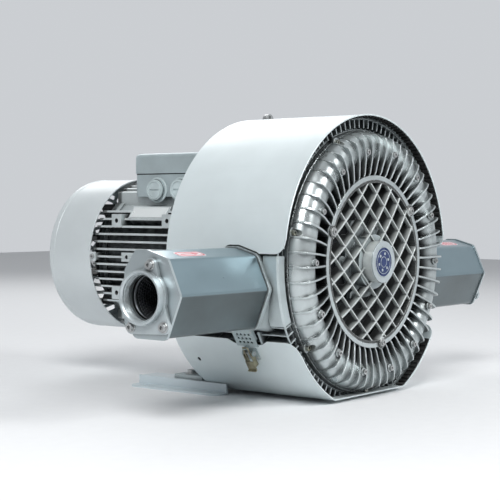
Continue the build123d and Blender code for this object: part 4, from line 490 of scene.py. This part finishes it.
def plated_steel(name, color, roughness=0.3, tint=None):
    """Zinc plating: cloudy, slightly coloured, scratched, with painted shade in its recesses."""
    shader = Shader(name)
    tint = tint or shade(color, 0.82)
    cloud = shader.noise(90.0, 4.0, 0.6)
    base = shader.mix(shader.span(cloud, 0.35, 0.65), color, tint)
    scratch = shader.noise(900.0, 2.0, 0.6, shader.stretched((1.0, 0.06, 1.0)))
    base = shader.mix(shader.span(scratch, 0.6, 0.8, 0.0, 0.35), base, shade(color, 1.35))
    # painted shade in the recesses
    base = shader.mix(shader.math("MULTIPLY", shader.crevice(0.004), 0.45), base, shade(color, 0.2))
    shader.link(base, shader.shader.inputs["Base Color"])
    rough = shader.span(cloud, 0.3, 0.7, roughness, roughness + 0.2)
    shader.link(rough, shader.shader.inputs["Roughness"])
    shader.set(Metallic=1.0)
    normal = shader.bump(scratch, 0.00003, 0.5, shader.rounded(0.0004))
    shader.link(normal, shader.shader.inputs["Normal"])
    return shader.material


def moulded(name, color, roughness=0.5, grain_scale=900.0, grain=0.00008, cells=False):
    """Moulded plastic or rubber with a fine skin."""
    shader = Shader(name)
    cloud = shader.noise(30.0, 4.0)
    base = shader.mix(shader.span(cloud, 0.3, 0.7), shade(color, 0.85), shade(color, 1.15))
    drift = shader.span(shader.noise(45.0, 5.0), 0.4, 0.7, 0.0, 0.25)
    dust = shader.math("MULTIPLY", shader.upward(), drift)
    base = shader.mix(dust, base, (0.45, 0.45, 0.43, 1.0))
    shader.link(base, shader.shader.inputs["Base Color"])
    rough = shader.span(cloud, 0.3, 0.7, roughness - 0.06, roughness + 0.1)
    shader.link(rough, shader.shader.inputs["Roughness"])
    height = shader.cells(grain_scale) if cells else shader.noise(grain_scale, 2.0)
    normal = shader.bump(height, grain, 0.8, shader.rounded(0.0006))
    shader.link(normal, shader.shader.inputs["Normal"])
    return shader.material


def build_materials():
    """One material for each of the record's slots."""
    silver = srgb(192, 202, 204)
    rough_cast = {"dirt_and_shade": 1.0, "reach": 0.026}
    port_cast = srgb(196, 205, 208)
    zinc = srgb(202, 204, 204)
    recipes = {
        "cast_paint": (cast_paint, silver, dict(metallic=0.6, **rough_cast)),
        "cover_paint": (
            cast_paint,
            srgb(200, 208, 209),
            dict(roughness=0.28, metallic=0.8, dirt_and_shade=1.0, reach=0.03, masks=cover_masks),
        ),
        "wrap_paint": (smooth_paint, srgb(218, 228, 230), {}),
        # silencer paint darker and bluer than the wrap's silver: painted shade and painted reflection
        "silencer_paint": (
            smooth_paint,
            srgb(140, 160, 168),
            dict(roughness=0.27, metallic=0.85, masks=silencer_masks),
        ),
        "port_paint": (cast_paint, port_cast, dict(roughness=0.32, metallic=0.6)),
        "motor_paint": (
            cast_paint,
            srgb(210, 218, 219),
            dict(metallic=0.55, masks=motor_masks, **rough_cast),
        ),
        "fan_cover_paint": (smooth_paint, srgb(212, 219, 221), dict(roughness=0.4)),
        "grille_paint": (
            cast_paint,
            srgb(206, 212, 211),
            dict(roughness=0.3, dirt_and_shade=0.6, masks=grille_masks),
        ),
        "cap_paint": (cast_paint, port_cast, dict(roughness=0.30, grain=0.0001, metallic=0.6)),
        "badge": (moulded, srgb(34, 52, 98), dict(roughness=0.28, grain=0.00002)),
        "screw_steel": (plated_steel, zinc, {}),
        "rim_steel": (plated_steel, srgb(182, 184, 178), dict(tint=srgb(150, 148, 130))),
        "latch_steel": (
            plated_steel,
            srgb(178, 172, 146),
            dict(tint=srgb(132, 128, 112), roughness=0.36),
        ),
        "keeper_steel": (smooth_paint, srgb(170, 184, 186), dict(roughness=0.38)),
        "rail_steel": (smooth_paint, srgb(206, 217, 222), dict(roughness=0.3)),
        "bearing_steel": (turned_metal, srgb(190, 190, 190), {}),
        "shaft_steel": (turned_metal, srgb(170, 170, 172), {}),
        "impeller_alloy": (turned_metal, srgb(190, 192, 196), dict(roughness=0.4)),
        "rotor_steel": (turned_metal, srgb(110, 110, 114), dict(roughness=0.45)),
        "stator_steel": (turned_metal, srgb(96, 96, 100), dict(roughness=0.5)),
        "copper": (plated_steel, srgb(176, 98, 52), dict(roughness=0.35)),
        "fan_plastic": (moulded, srgb(34, 35, 37), {}),
        "foam": (
            moulded,
            srgb(40, 40, 40),
            dict(roughness=0.95, grain_scale=420.0, grain=0.0012, cells=True),
        ),
        "tube_steel": (plated_steel, srgb(120, 124, 128), dict(roughness=0.38)),
        "gasket_rubber": (moulded, srgb(22, 23, 24), dict(roughness=0.7)),
        "plug_plastic": (moulded, srgb(186, 199, 201), dict(roughness=0.38)),
        "terminal_paint": (cast_paint, srgb(180, 193, 196), dict(roughness=0.34, dirt_and_shade=0.6)),
        "block_plastic": (moulded, srgb(30, 30, 30), {}),
        "plate_alloy": (smooth_paint, srgb(232, 237, 237), dict(roughness=0.3, metallic=0.3)),
    }
    return {name: make(name, color, **values) for name, (make, color, values) in recipes.items()}


MATERIALS = build_materials()


def paint_nodes():
    """Gives every CAD node the material of its slot."""
    slots = {entry["node"]: entry["material_slot"] for entry in frame["record"]["subparts"]}
    for name, obj in NODES.items():
        for slot in obj.material_slots:
            slot.material = MATERIALS[slots[name]]
        even = obj.modifiers.new("even_normals", "WEIGHTED_NORMAL")
        even.weight = 100
        even.keep_sharp = True


# ---------------------------------------------------------------- mesh toolkit
def finish_piece(name, mesh, slot, body="blower", sharp=32.0):
    """Links a mesh as a piece, with its material, its slot and its body."""
    build = bmesh.new()
    build.from_mesh(mesh)
    bmesh.ops.remove_doubles(build, verts=build.verts, dist=1e-7)
    bmesh.ops.recalc_face_normals(build, faces=build.faces)
    build.to_mesh(mesh)
    build.free()
    obj = bpy.data.objects.new(name, mesh)
    bpy.context.scene.collection.objects.link(obj)
    mesh.materials.append(MATERIALS[slot])
    mesh.shade_smooth()
    mesh.set_sharp_from_angle(angle=math.radians(sharp))
    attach(obj, body)
    return obj


def axes(origin, u, v, w):
    """Frame that takes local x, y, z in millimetres to the world."""
    turn = Matrix((Vector(u), Vector(v), Vector(w))).transposed().to_4x4()
    return Matrix.Translation(Vector(origin)) @ turn @ Matrix.Scale(MM, 4)


SHAFT = axes((0, COVER_Y, AXIS_Z), (1, 0, 0), (0, 0, 1), (0, 1, 0))


def port_axes(side):
    """Local z runs out of the port, x along +Y, y up; z = 0 is the shaft's plane."""
    return axes((0, PORT_Y, PORT_Z), (0, 1, 0), (0, 0, 1), (side, 0, 0))


def grid_mesh(name, frame_matrix, rows, closed_rows, closed_columns, caps=False):
    """Quads between rows of points; a row or the stack of rows may close on itself."""
    mesh = bpy.data.meshes.new(name)
    build = bmesh.new()
    verts = [[build.verts.new(frame_matrix @ Vector(point)) for point in row] for row in rows]
    row_count = len(rows)
    column_count = len(rows[0])
    for i in range(row_count if closed_rows else row_count - 1):
        for j in range(column_count if closed_columns else column_count - 1):
            a, b = verts[i], verts[(i + 1) % row_count]
            k = (j + 1) % column_count
            build.faces.new((a[j], b[j], b[k], a[k]))
    if caps:
        build.faces.new(verts[0])
        build.faces.new(verts[-1])
    build.to_mesh(mesh)
    build.free()
    return mesh


def lathe(name, frame_matrix, profile, steps=96, start=0.0, end=360.0):
    """Closed profile of (radius, height) turned about local z."""
    full = end - start >= 360.0
    rows = []
    for step in range(steps if full else steps + 1):
        angle = math.radians(start + (end - start) * step / steps)
        cos, sin = math.cos(angle), math.sin(angle)
        rows.append([(radius * cos, radius * sin, height) for radius, height in profile])
    return grid_mesh(name, frame_matrix, rows, full, True, caps=not full)


def round_bead(radius, height, thickness, sides=10):
    """Circular section for a lathe."""
    turns = [2 * math.pi * side / sides for side in range(sides)]
    return [(radius + thickness * math.cos(t), height + thickness * math.sin(t)) for t in turns]


def wire(name, frame_matrix, points, radius, sides=8):
    """Round bead along a line of points."""
    places = [Vector(point) for point in points]
    rows = []
    for index, place in enumerate(places):
        ahead = places[min(index + 1, len(places) - 1)]
        behind = places[max(index - 1, 0)]
        along = (ahead - behind).normalized()
        if index == 0:
            side = along.orthogonal().normalized()
        else:
            side = (side - along * side.dot(along)).normalized()
        other = along.cross(side)
        row = []
        for step in range(sides):
            turn = 2 * math.pi * step / sides
            row.append(place + side * radius * math.cos(turn) + other * radius * math.sin(turn))
        rows.append(row)
    return grid_mesh(name, frame_matrix, rows, False, True, caps=True)


def plate(name, frame_matrix, outline, low, high):
    """Flat plate from an outline in local x and y."""
    rows = [[(x, y, height) for x, y in outline] for height in (low, high)]
    return grid_mesh(name, frame_matrix, rows, False, True, caps=True)


def border(name, frame_matrix, outer, inner, low, high):
    """Flat raised band between two rectangles with round corners."""
    outer_line, inner_line = rounded_box(*outer), rounded_box(*inner)
    loops = ((outer_line, low), (outer_line, high), (inner_line, high), (inner_line, low))
    rows = [[(x, y, height) for x, y in line] for line, height in loops]
    return grid_mesh(name, frame_matrix, rows, True, True)


def merged(name, meshes):
    """One mesh from several."""
    build = bmesh.new()
    for mesh in meshes:
        build.from_mesh(mesh)
        bpy.data.meshes.remove(mesh)
    whole = bpy.data.meshes.new(name)
    build.to_mesh(whole)
    build.free()
    return whole


def rounded_box(width, height, radius, steps=5):
    """Outline of a rectangle with round corners."""
    points = []
    for index, (sx, sy) in enumerate(((1, 1), (-1, 1), (-1, -1), (1, -1))):
        for step in range(steps + 1):
            turn = math.radians(90 * index + 90 * step / steps)
            x = sx * (width / 2 - radius) + radius * math.cos(turn)
            y = sy * (height / 2 - radius) + radius * math.sin(turn)
            points.append((x, y))
    return points


def on_circle(radius, degrees):
    """Point of a circle about the local origin."""
    return radius * math.cos(math.radians(degrees)), radius * math.sin(math.radians(degrees))


# ---------------------------------------------------------------- wrap
def fin_reflection_comb(name, start, end):
    """Dark ribbed strip inside the wrap's front edge: a painted reflection of the housing's fins."""
    rows = []
    count = int((end - start) / STRIPES_PITCH)
    step = (end - start) / count
    tooth = STRIPES_TOOTH_SHARE
    for index in range(count):
        angle = start + index * step
        for share, inner in (
            (0.0, STRIPES_BASE),
            (0.0, STRIPES_TOOTH),
            (tooth, STRIPES_TOOTH),
            (tooth, STRIPES_BASE),
        ):
            section = (
                (STRIPES_OUTER, STRIPES_FRONT),
                (inner, STRIPES_FRONT),
                (inner, STRIPES_BACK),
                (STRIPES_OUTER, STRIPES_BACK),
            )
            turn = angle + share * step
            rows.append([(*on_circle(radius, turn), height) for radius, height in section])
    return grid_mesh(name, SHAFT, rows, False, True, caps=True)


def arc_points(start, end, count=60):
    """Points along the middle of the wrap's front edge."""
    steps = [start + (end - start) * step / count for step in range(count + 1)]
    return [(*on_circle(WRAP_R - HEM_DEPTH, angle), WRAP_FRONT) for angle in steps]


def wrap_details():
    """Dark ribbed strip, a painted reflection of the fins, and rolled hem along the front edges of
    the two shells.
    """
    strips = [fin_reflection_comb("strip", *arc) for arc in WRAP_ARCS]
    # the dark ribbed strip is a painted reflection of the fins, in the gasket rubber's colour
    finish_piece("wrap_fin_reflection", merged("wrap_fin_reflection", strips), "gasket_rubber")
    upper, lower_left, lower_right = WRAP_ARCS
    lines = [arc_points(*upper), arc_points(*lower_left) + arc_points(*lower_right)]
    beads = [wire("bead", SHAFT, line, HEM_RADIUS) for line in lines]
    finish_piece("wrap_hem", merged("wrap_hem", beads), "wrap_paint", sharp=60.0)


# ---------------------------------------------------------------- ports
def perforated_tube(name, side):
    """Tube rolled from perforated sheet, every hole a real opening."""
    frame_matrix = port_axes(side)
    low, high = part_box(f"port_tube_{name}")
    start, end = sorted((abs(low[0]) / MM, abs(high[0]) / MM))
    around, pitch = TUBE_HOLES_ROUND, TUBE_PITCH
    rows = int((end - start - TUBE_PLAIN_ENDS) / pitch)
    margin = (end - start - rows * pitch) / 2
    mesh = bpy.data.meshes.new("port_tube")
    build = bmesh.new()

    def place(u, height):
        point = Vector((*on_circle(TUBE_MID, u * 360.0 / around), height))
        return build.verts.new(frame_matrix @ point)

    cell = [(-0.5, -0.5), (0.0, -0.5), (0.5, -0.5), (0.5, 0.0)]
    cell += [(-u, -v) for u, v in cell]
    count = len(cell)
    for row in range(rows):
        shift = 0.5 * (row % 2)
        middle = start + margin + (row + 0.5) * pitch
        for column in range(around):
            outer = [place(column + shift + du, middle + dv * pitch) for du, dv in cell]
            inner = []
            for index in range(count):
                du, dv = on_circle(TUBE_HOLE, 225 + 360 / count * index)
                inner.append(place(column + shift + du, middle + dv * pitch))
            for index in range(count):
                after = (index + 1) % count
                build.faces.new((outer[index], outer[after], inner[after], inner[index]))
    for low_end, high_end in ((start, start + margin), (end - margin, end)):
        for column in range(around * 2):
            u0, u1 = column / 2, (column + 1) / 2
            strip = ((u0, low_end), (u1, low_end), (u1, high_end), (u0, high_end))
            build.faces.new([place(*corner) for corner in strip])
    bmesh.ops.remove_doubles(build, verts=build.verts, dist=1e-6)
    build.to_mesh(mesh)
    build.free()
    tube = finish_piece(f"perforated_tube_{name}", mesh, "tube_steel", sharp=50.0)
    solid = tube.modifiers.new("sheet", "SOLIDIFY")
    solid.thickness = TUBE_SHEET * MM
    solid.offset = 0.0
    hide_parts(f"port_tube_{name}")


def port_thread(name, side):
    """Pipe thread in the port's mouth, as one helical ridge."""
    last = THREAD_TURNS * THREAD_STEPS
    root = PORT_R + THREAD_ROOT
    rows = []
    for step in range(last + 1):
        angle = 360.0 * step / THREAD_STEPS
        height = THREAD_START + THREAD_PITCH * step / THREAD_STEPS
        fade = min(1.0, step / THREAD_FADE, (last - step) / THREAD_FADE + THREAD_END)
        crest = PORT_R - THREAD_DEPTH * fade
        ridge = ((root, -THREAD_HALF), (crest, 0.0), (root, THREAD_HALF))
        row = [(*on_circle(radius, angle), height + lift * THREAD_PITCH) for radius, lift in ridge]
        rows.append(row)
    mesh = grid_mesh(f"port_thread_{name}", port_axes(side), rows, False, True, caps=True)
    finish_piece(f"port_thread_{name}", mesh, "port_paint", sharp=25.0)


def flow_arrow(name, side):
    """Plain arrow label on the silencer's sloping top."""
    low, high = Vector(SECTION[1]), Vector(SECTION[2])
    across = (high - low).normalized()
    middle = (low + high) / 2
    origin = Vector((side * LABEL_X * MM, PORT_Y + middle.x * MM, PORT_Z + middle.y * MM))
    slope = (0, across.x, across.y)
    outward = Vector((0, -across.y, across.x))
    spot = axes(origin, (-side, 0, 0), slope, outward)
    label = plate("label", spot, rounded_box(*LABEL_SIZE), LABEL_BACK, LABEL_FACE)
    rim = border("rim", spot, LABEL_RIM_OUTER, LABEL_RIM_INNER, LABEL_FACE, LABEL_INK)
    shape = plate("arrow", spot, ARROW, LABEL_FACE, LABEL_INK)
    backing = finish_piece(f"flow_label_{name}", label, "plate_alloy")
    backing.data.materials[0] = label_material("label_film", srgb(226, 214, 218))
    marks = finish_piece(f"flow_arrow_{name}", merged("flow_arrow", [rim, shape]), "badge")
    marks.data.materials[0] = label_material("label_ink", srgb(206, 44, 70))


def label_material(name, color):
    """Material of the labels, made once for both sides."""
    found = bpy.data.materials.get(name)
    return found or moulded(name, color, roughness=0.35, grain=0.00001)


def washer(spot, inner, outer, thickness):
    """Ring that shows round a screw's head."""
    profile = [
        (inner, 0.0),
        (outer, 0.0),
        (outer, thickness * WASHER_STRAIGHT),
        (outer - WASHER_CHAMFER, thickness),
        (inner, thickness),
    ]
    return lathe("washer", spot, profile, 32)


def washers():
    """Plain washers under the heads of the grille's, ports' and legs' screws."""
    rings = []
    for index in range(GRILLE_SCREW_COUNT):
        x, z = on_circle(GRILLE_SCREW_CIRCLE, GRILLE_SCREW_START + 360.0 * index / GRILLE_SCREW_COUNT)
        origin = (x * MM, COVER_Y + GRILLE_SCREW_SEAT * MM, AXIS_Z + z * MM)
        rings.append(washer(axes(origin, (1, 0, 0), (0, 0, 1), (0, -1, 0)), *GRILLE_WASHER))
    for _, side in SIDES:
        for dy, dz in PORT_SCREWS:
            origin = (side * PORT_SEAT * MM, PORT_Y + dy * MM, PORT_Z + dz * MM)
            rings.append(washer(axes(origin, (0, 1, 0), (0, 0, 1), (side, 0, 0)), *PORT_WASHER))
        origin = (side * LEG_SCREW_X * MM, 0.0, LEG_SCREW_SEAT * MM)
        rings.append(washer(axes(origin, (1, 0, 0), (0, 1, 0), (0, 0, 1)), *LEG_WASHER))
    finish_piece("washers", merged("washers", rings), "screw_steel")


# ---------------------------------------------------------------- hub, plate, box and covers
def badge_rings():
    """Plain raised rings and studs on the hub's disc."""
    back, front = (HUB_FACE + relief for relief in BADGE_RELIEF)
    rings = []
    for radius, half in BADGE_RINGS:
        inner, outer = radius - half, radius + half
        profile = [(inner, back), (inner, front), (outer, front), (outer, back)]
        rings.append(lathe("ring", SHAFT, profile))
    finish_piece("badge_rings", merged("badge_rings", rings), "cap_paint")
    face = axes((0, COVER_Y + HUB_FACE * MM, AXIS_Z), (1, 0, 0), (0, 0, 1), (0, -1, 0))
    studs = []
    for index in range(STUD_COUNT):
        turn = Matrix.Rotation(math.radians(360 / STUD_COUNT * index + STUD_START), 4, "Z")
        spot = face @ turn @ Matrix.Translation((STUD_CIRCLE, 0, 0))
        studs.append(lathe("stud", spot, STUD_PROFILE, 24))
    finish_piece("badge_studs", merged("badge_studs", studs), "cap_paint")


def dome(radius, height, steps=5):
    """Profile of a rivet head."""
    points = [(0.01, -0.2), (radius, -0.2)]
    for step in range(steps + 1):
        turn = math.radians(90 * step / steps)
        points.append((max(radius * math.cos(turn), 0.01), height * math.sin(turn)))
    return points


def nameplate_details():
    """Rivets and a raised border on the blank plate."""
    turn = math.radians(NAMEPLATE_TURN)
    outward = Vector((math.cos(turn), 0, math.sin(turn)))
    across = Vector((-math.sin(turn), 0, math.cos(turn)))
    middle = Vector((0, (NAMEPLATE_Y - COVER_OFFSET) * MM, AXIS_Z))
    spot = axes(middle + outward * NAMEPLATE_FACE * MM, (0, 1, 0), across, outward)
    edges = (NAMEPLATE_BORDER_OUTER, NAMEPLATE_BORDER_INNER)
    parts = [border("border", spot, *edges, 0.0, NAMEPLATE_BORDER_HEIGHT)]
    for x in (-NAMEPLATE_RIVET_X, NAMEPLATE_RIVET_X):
        place = spot @ Matrix.Translation((x, 0, 0))
        parts.append(lathe("rivet", place, dome(*NAMEPLATE_RIVET_HEAD), 20))
    finish_piece("nameplate_trim", merged("nameplate_trim", parts), "plate_alloy")


def terminal_details():
    """Seals behind the cable plugs, and the plugs' rims and collars."""
    seals = []
    rims = []
    for y in ENTRY_Y:
        origin = (0, (y - COVER_OFFSET) * MM, AXIS_Z + ENTRY_Z * MM)
        spot = axes(origin, (0, 1, 0), (0, 0, 1), (-1, 0, 0))
        seals.append(lathe("seal", spot, round_bead(SEAL_RADIUS, SEAL_PLACE, SEAL_THICKNESS), 48))
        rims.append(lathe("rim", spot, PLUG_RIM, 64))
        rims.append(lathe("collar", spot, PLUG_COLLAR, 64))
    finish_piece("plug_seals", merged("plug_seals", seals), "gasket_rubber", sharp=60.0)
    finish_piece("plug_rims", merged("plug_rims", rims), "plug_plastic")


def fan_cover_details():
    """Rolled bead on the fan cover's front edge and a pressed ridge near its back."""
    edge = round_bead(COVER_R - FAN_BEAD_INSET, FAN_FRONT + FAN_BEAD, FAN_BEAD)
    ridge = round_bead(COVER_R - FAN_RIDGE_INSET, FAN_FRONT + FAN_RIDGE_BACK, FAN_RIDGE)
    beads = [lathe("bead", SHAFT, profile, 160) for profile in (edge, ridge)]
    finish_piece("fan_cover_beads", merged("fan_cover_beads", beads), "fan_cover_paint", sharp=60.0)


# ---------------------------------------------------------------- latches
def latch_axes(side):
    """Local x down the wrap, y along the shaft, z outwards, at the lever's pivot."""
    turn = math.radians(LATCH_TURN)
    x, z = WRAP_R * math.cos(turn), WRAP_R * math.sin(turn)
    down = Vector((side * math.sin(turn), 0, math.cos(turn)))
    out = Vector((-side * math.cos(turn), 0, math.sin(turn)))
    return axes((-side * x * MM, PORT_Y + LATCH_SHIFT, AXIS_Z + z * MM), down, (0, 1, 0), out)


def latch_details():
    """Rivets through each base and keeper, and the spring on each pivot pin."""
    heads = []
    springs = []
    for _, side in SIDES:
        spot = latch_axes(side)
        for x, y in BASE_RIVETS:
            place = spot @ Matrix.Translation((x, y, BASE_RIVET_SEAT))
            heads.append(lathe("rivet", place, dome(*BASE_RIVET_HEAD), 20))
        for x, y in KEEPER_RIVETS:
            place = spot @ Matrix.Translation((x, y, KEEPER_RIVET_SEAT))
            heads.append(lathe("rivet", place, dome(*KEEPER_RIVET_HEAD), 18))
        coil = []
        last = SPRING_COILS * SPRING_STEPS
        for step in range(last + 1):
            across, up = on_circle(SPRING_RADIUS, 360 * step / SPRING_STEPS)
            coil.append((across, SPRING_HALF * (2 * step / last - 1), SPRING_HEIGHT + up))
        springs.append(wire("spring", spot, coil, SPRING_WIRE, 6))
    finish_piece("latch_rivets", merged("latch_rivets", heads), "screw_steel")
    finish_piece("latch_springs", merged("latch_springs", springs), "screw_steel", sharp=60.0)


def cover_joint():
    """Edge of the paper gasket between the cover and the housing."""
    finish_piece("cover_gasket", lathe("edge", SHAFT, GASKET_EDGE, 200), "gasket_rubber")


def neck_shrouds():
    """Smooth cast webs that join each neck to the cover's rim over the ends of the fins."""
    webs = [lathe("web", SHAFT, SHROUD_PROFILE, 24, *arc) for arc in SHROUD_ARCS]
    finish_piece("neck_shrouds", merged("neck_shrouds", webs), "cast_paint")


def section_reach(turn):
    """Distance from the port's axis to the foam's outside, at an angle in radians."""
    reach = math.inf
    for index, start in enumerate(SECTION):
        end = SECTION[(index + 1) % len(SECTION)]
        along = Vector((end[0] - start[0], end[1] - start[1])).normalized()
        outward = Vector((-along.y, along.x))
        slope = outward.x * math.cos(turn) + outward.y * math.sin(turn)
        if slope > SIDEWAYS:
            reach = min(reach, (outward.dot(Vector(start)) - FOAM_GAP) / slope)
    return reach


def foam_liner(name, side):
    """Open-celled foam between the perforated tube and the silencer's shell, pitted in its bore."""
    start, end = FOAM_SPAN
    scatter_round, scatter_along = FOAM_SCATTER
    rows = []
    for step in range(FOAM_STEPS):
        turn = 2 * math.pi * step / FOAM_STEPS
        outside = section_reach(turn)
        row = []
        for cell in range(FOAM_CELLS + 1):
            height = start + (end - start) * cell / FOAM_CELLS
            pit = FOAM_PIT * math.sin(scatter_round * step + scatter_along * cell) + FOAM_PIT
            row.append((FOAM_BORE + pit, height))
        row += [(outside, end), (outside, start)]
        rows.append([(r * math.cos(turn), r * math.sin(turn), height) for r, height in row])
    mesh = grid_mesh("foam", port_axes(side), rows, True, True)
    liner = finish_piece(f"foam_liner_{name}", mesh, "foam", sharp=40.0)
    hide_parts(f"silencer_foam_{name}")


def silencer_seams():
    """Folded lock seam along each silencer's rear face, thinner at its ends."""
    seams = []
    for _, side in SIDES:
        rows = []
        for height, share in SEAM_PLACES:
            rows.append([(SEAM_X + x * share, SEAM_Y + y, height) for x, y in SEAM_SECTION])
        seams.append(grid_mesh("seam", port_axes(side), rows, False, True, caps=True))
    finish_piece("silencer_seams", merged("silencer_seams", seams), "silencer_paint")


# ---------------------------------------------------------------- studio
def plain_material(name, color, roughness=0.9):
    """Matt paper with hardly any mottling."""
    shader = Shader(name)
    grain = shader.noise(40.0, 3.0)
    base = shader.mix(shader.span(grain, 0.3, 0.7), shade(color, 0.99), shade(color, 1.01))
    shader.link(base, shader.shader.inputs["Base Color"])
    shader.set(Roughness=roughness)
    return shader.material


def studio():
    """Pale floor, a world that is brighter from one side, and soft boxes."""
    mesh = bpy.data.meshes.new("floor")
    floor = bmesh.new()
    signs = ((-1, -1), (1, -1), (1, 1), (-1, 1))
    floor.faces.new([floor.verts.new((x * FLOOR_HALF, y * FLOOR_HALF, 0)) for x, y in signs])
    floor.to_mesh(mesh)
    floor.free()
    obj = bpy.data.objects.new("floor", mesh)
    bpy.context.scene.collection.objects.link(obj)
    obj.data.materials.append(plain_material("floor_paper", FLOOR_COLOR))

    world = bpy.data.worlds.new("studio")
    world.use_nodes = True
    bpy.context.scene.world = world
    tree = world.node_tree
    background = tree.nodes["Background"]
    direction = tree.nodes.new("ShaderNodeTexCoord").outputs["Generated"]
    facing = tree.nodes.new("ShaderNodeVectorMath")
    facing.operation = "DOT_PRODUCT"
    facing.inputs[1].default_value = WORLD_BRIGHT_SIDE
    tree.links.new(direction, facing.inputs[0])
    blend = tree.nodes.new("ShaderNodeMapRange")
    blend.interpolation_type = "SMOOTHSTEP"
    for socket, value in WORLD_BLEND:
        blend.inputs[socket].default_value = value
    tree.links.new(facing.outputs["Value"], blend.inputs["Value"])
    tree.links.new(blend.outputs["Result"], background.inputs["Strength"])
    background.inputs["Color"].default_value = WORLD_COLOR

    for row in LAMPS:
        lamp(*row)


def lamp(name, place, aim, size, power):
    """Square soft box aimed at a point."""
    light = bpy.data.lights.new(name, "AREA")
    light.shape = "SQUARE"
    light.size = size
    light.energy = power
    obj = bpy.data.objects.new(name, light)
    bpy.context.scene.collection.objects.link(obj)
    obj.location = place
    direction = Vector(aim) - Vector(place)
    obj.rotation_euler = direction.to_track_quat("-Z", "Y").to_euler()


def camera():
    """Camera at the place and angle that the view was taken from."""
    azimuth = math.radians(CAMERA_AZIMUTH)
    elevation = math.radians(CAMERA_ELEVATION)
    roll = math.radians(CAMERA_ROLL)
    back = Vector((
        math.sin(azimuth) * math.cos(elevation),
        -math.cos(azimuth) * math.cos(elevation),
        math.sin(elevation),
    ))
    right = Vector((0, 0, 1)).cross(back).normalized()
    up = back.cross(right)
    turned_right = right * math.cos(roll) + up * math.sin(roll)
    turned_up = up * math.cos(roll) - right * math.sin(roll)
    data = bpy.data.cameras.new("camera")
    data.lens = CAMERA_LENS
    data.sensor_width = CAMERA_SENSOR
    data.clip_end = CAMERA_REACH
    obj = bpy.data.objects.new("camera", data)
    bpy.context.scene.collection.objects.link(obj)
    turn = Matrix((turned_right, turned_up, back)).transposed()
    obj.matrix_world = Matrix.Translation(CAMERA_PLACE) @ turn.to_4x4()
    bpy.context.scene.camera = obj


def settings():
    """Plain colours, without a film look."""
    bpy.context.scene.view_settings.view_transform = "Standard"


paint_nodes()
wrap_details()
for port_name, port_side in SIDES:
    perforated_tube(port_name, port_side)
    port_thread(port_name, port_side)
    foam_liner(port_name, port_side)
    flow_arrow(port_name, port_side)
washers()
badge_rings()
nameplate_details()
terminal_details()
fan_cover_details()
cover_joint()
neck_shrouds()
latch_details()
silencer_seams()
studio()
camera()
settings()
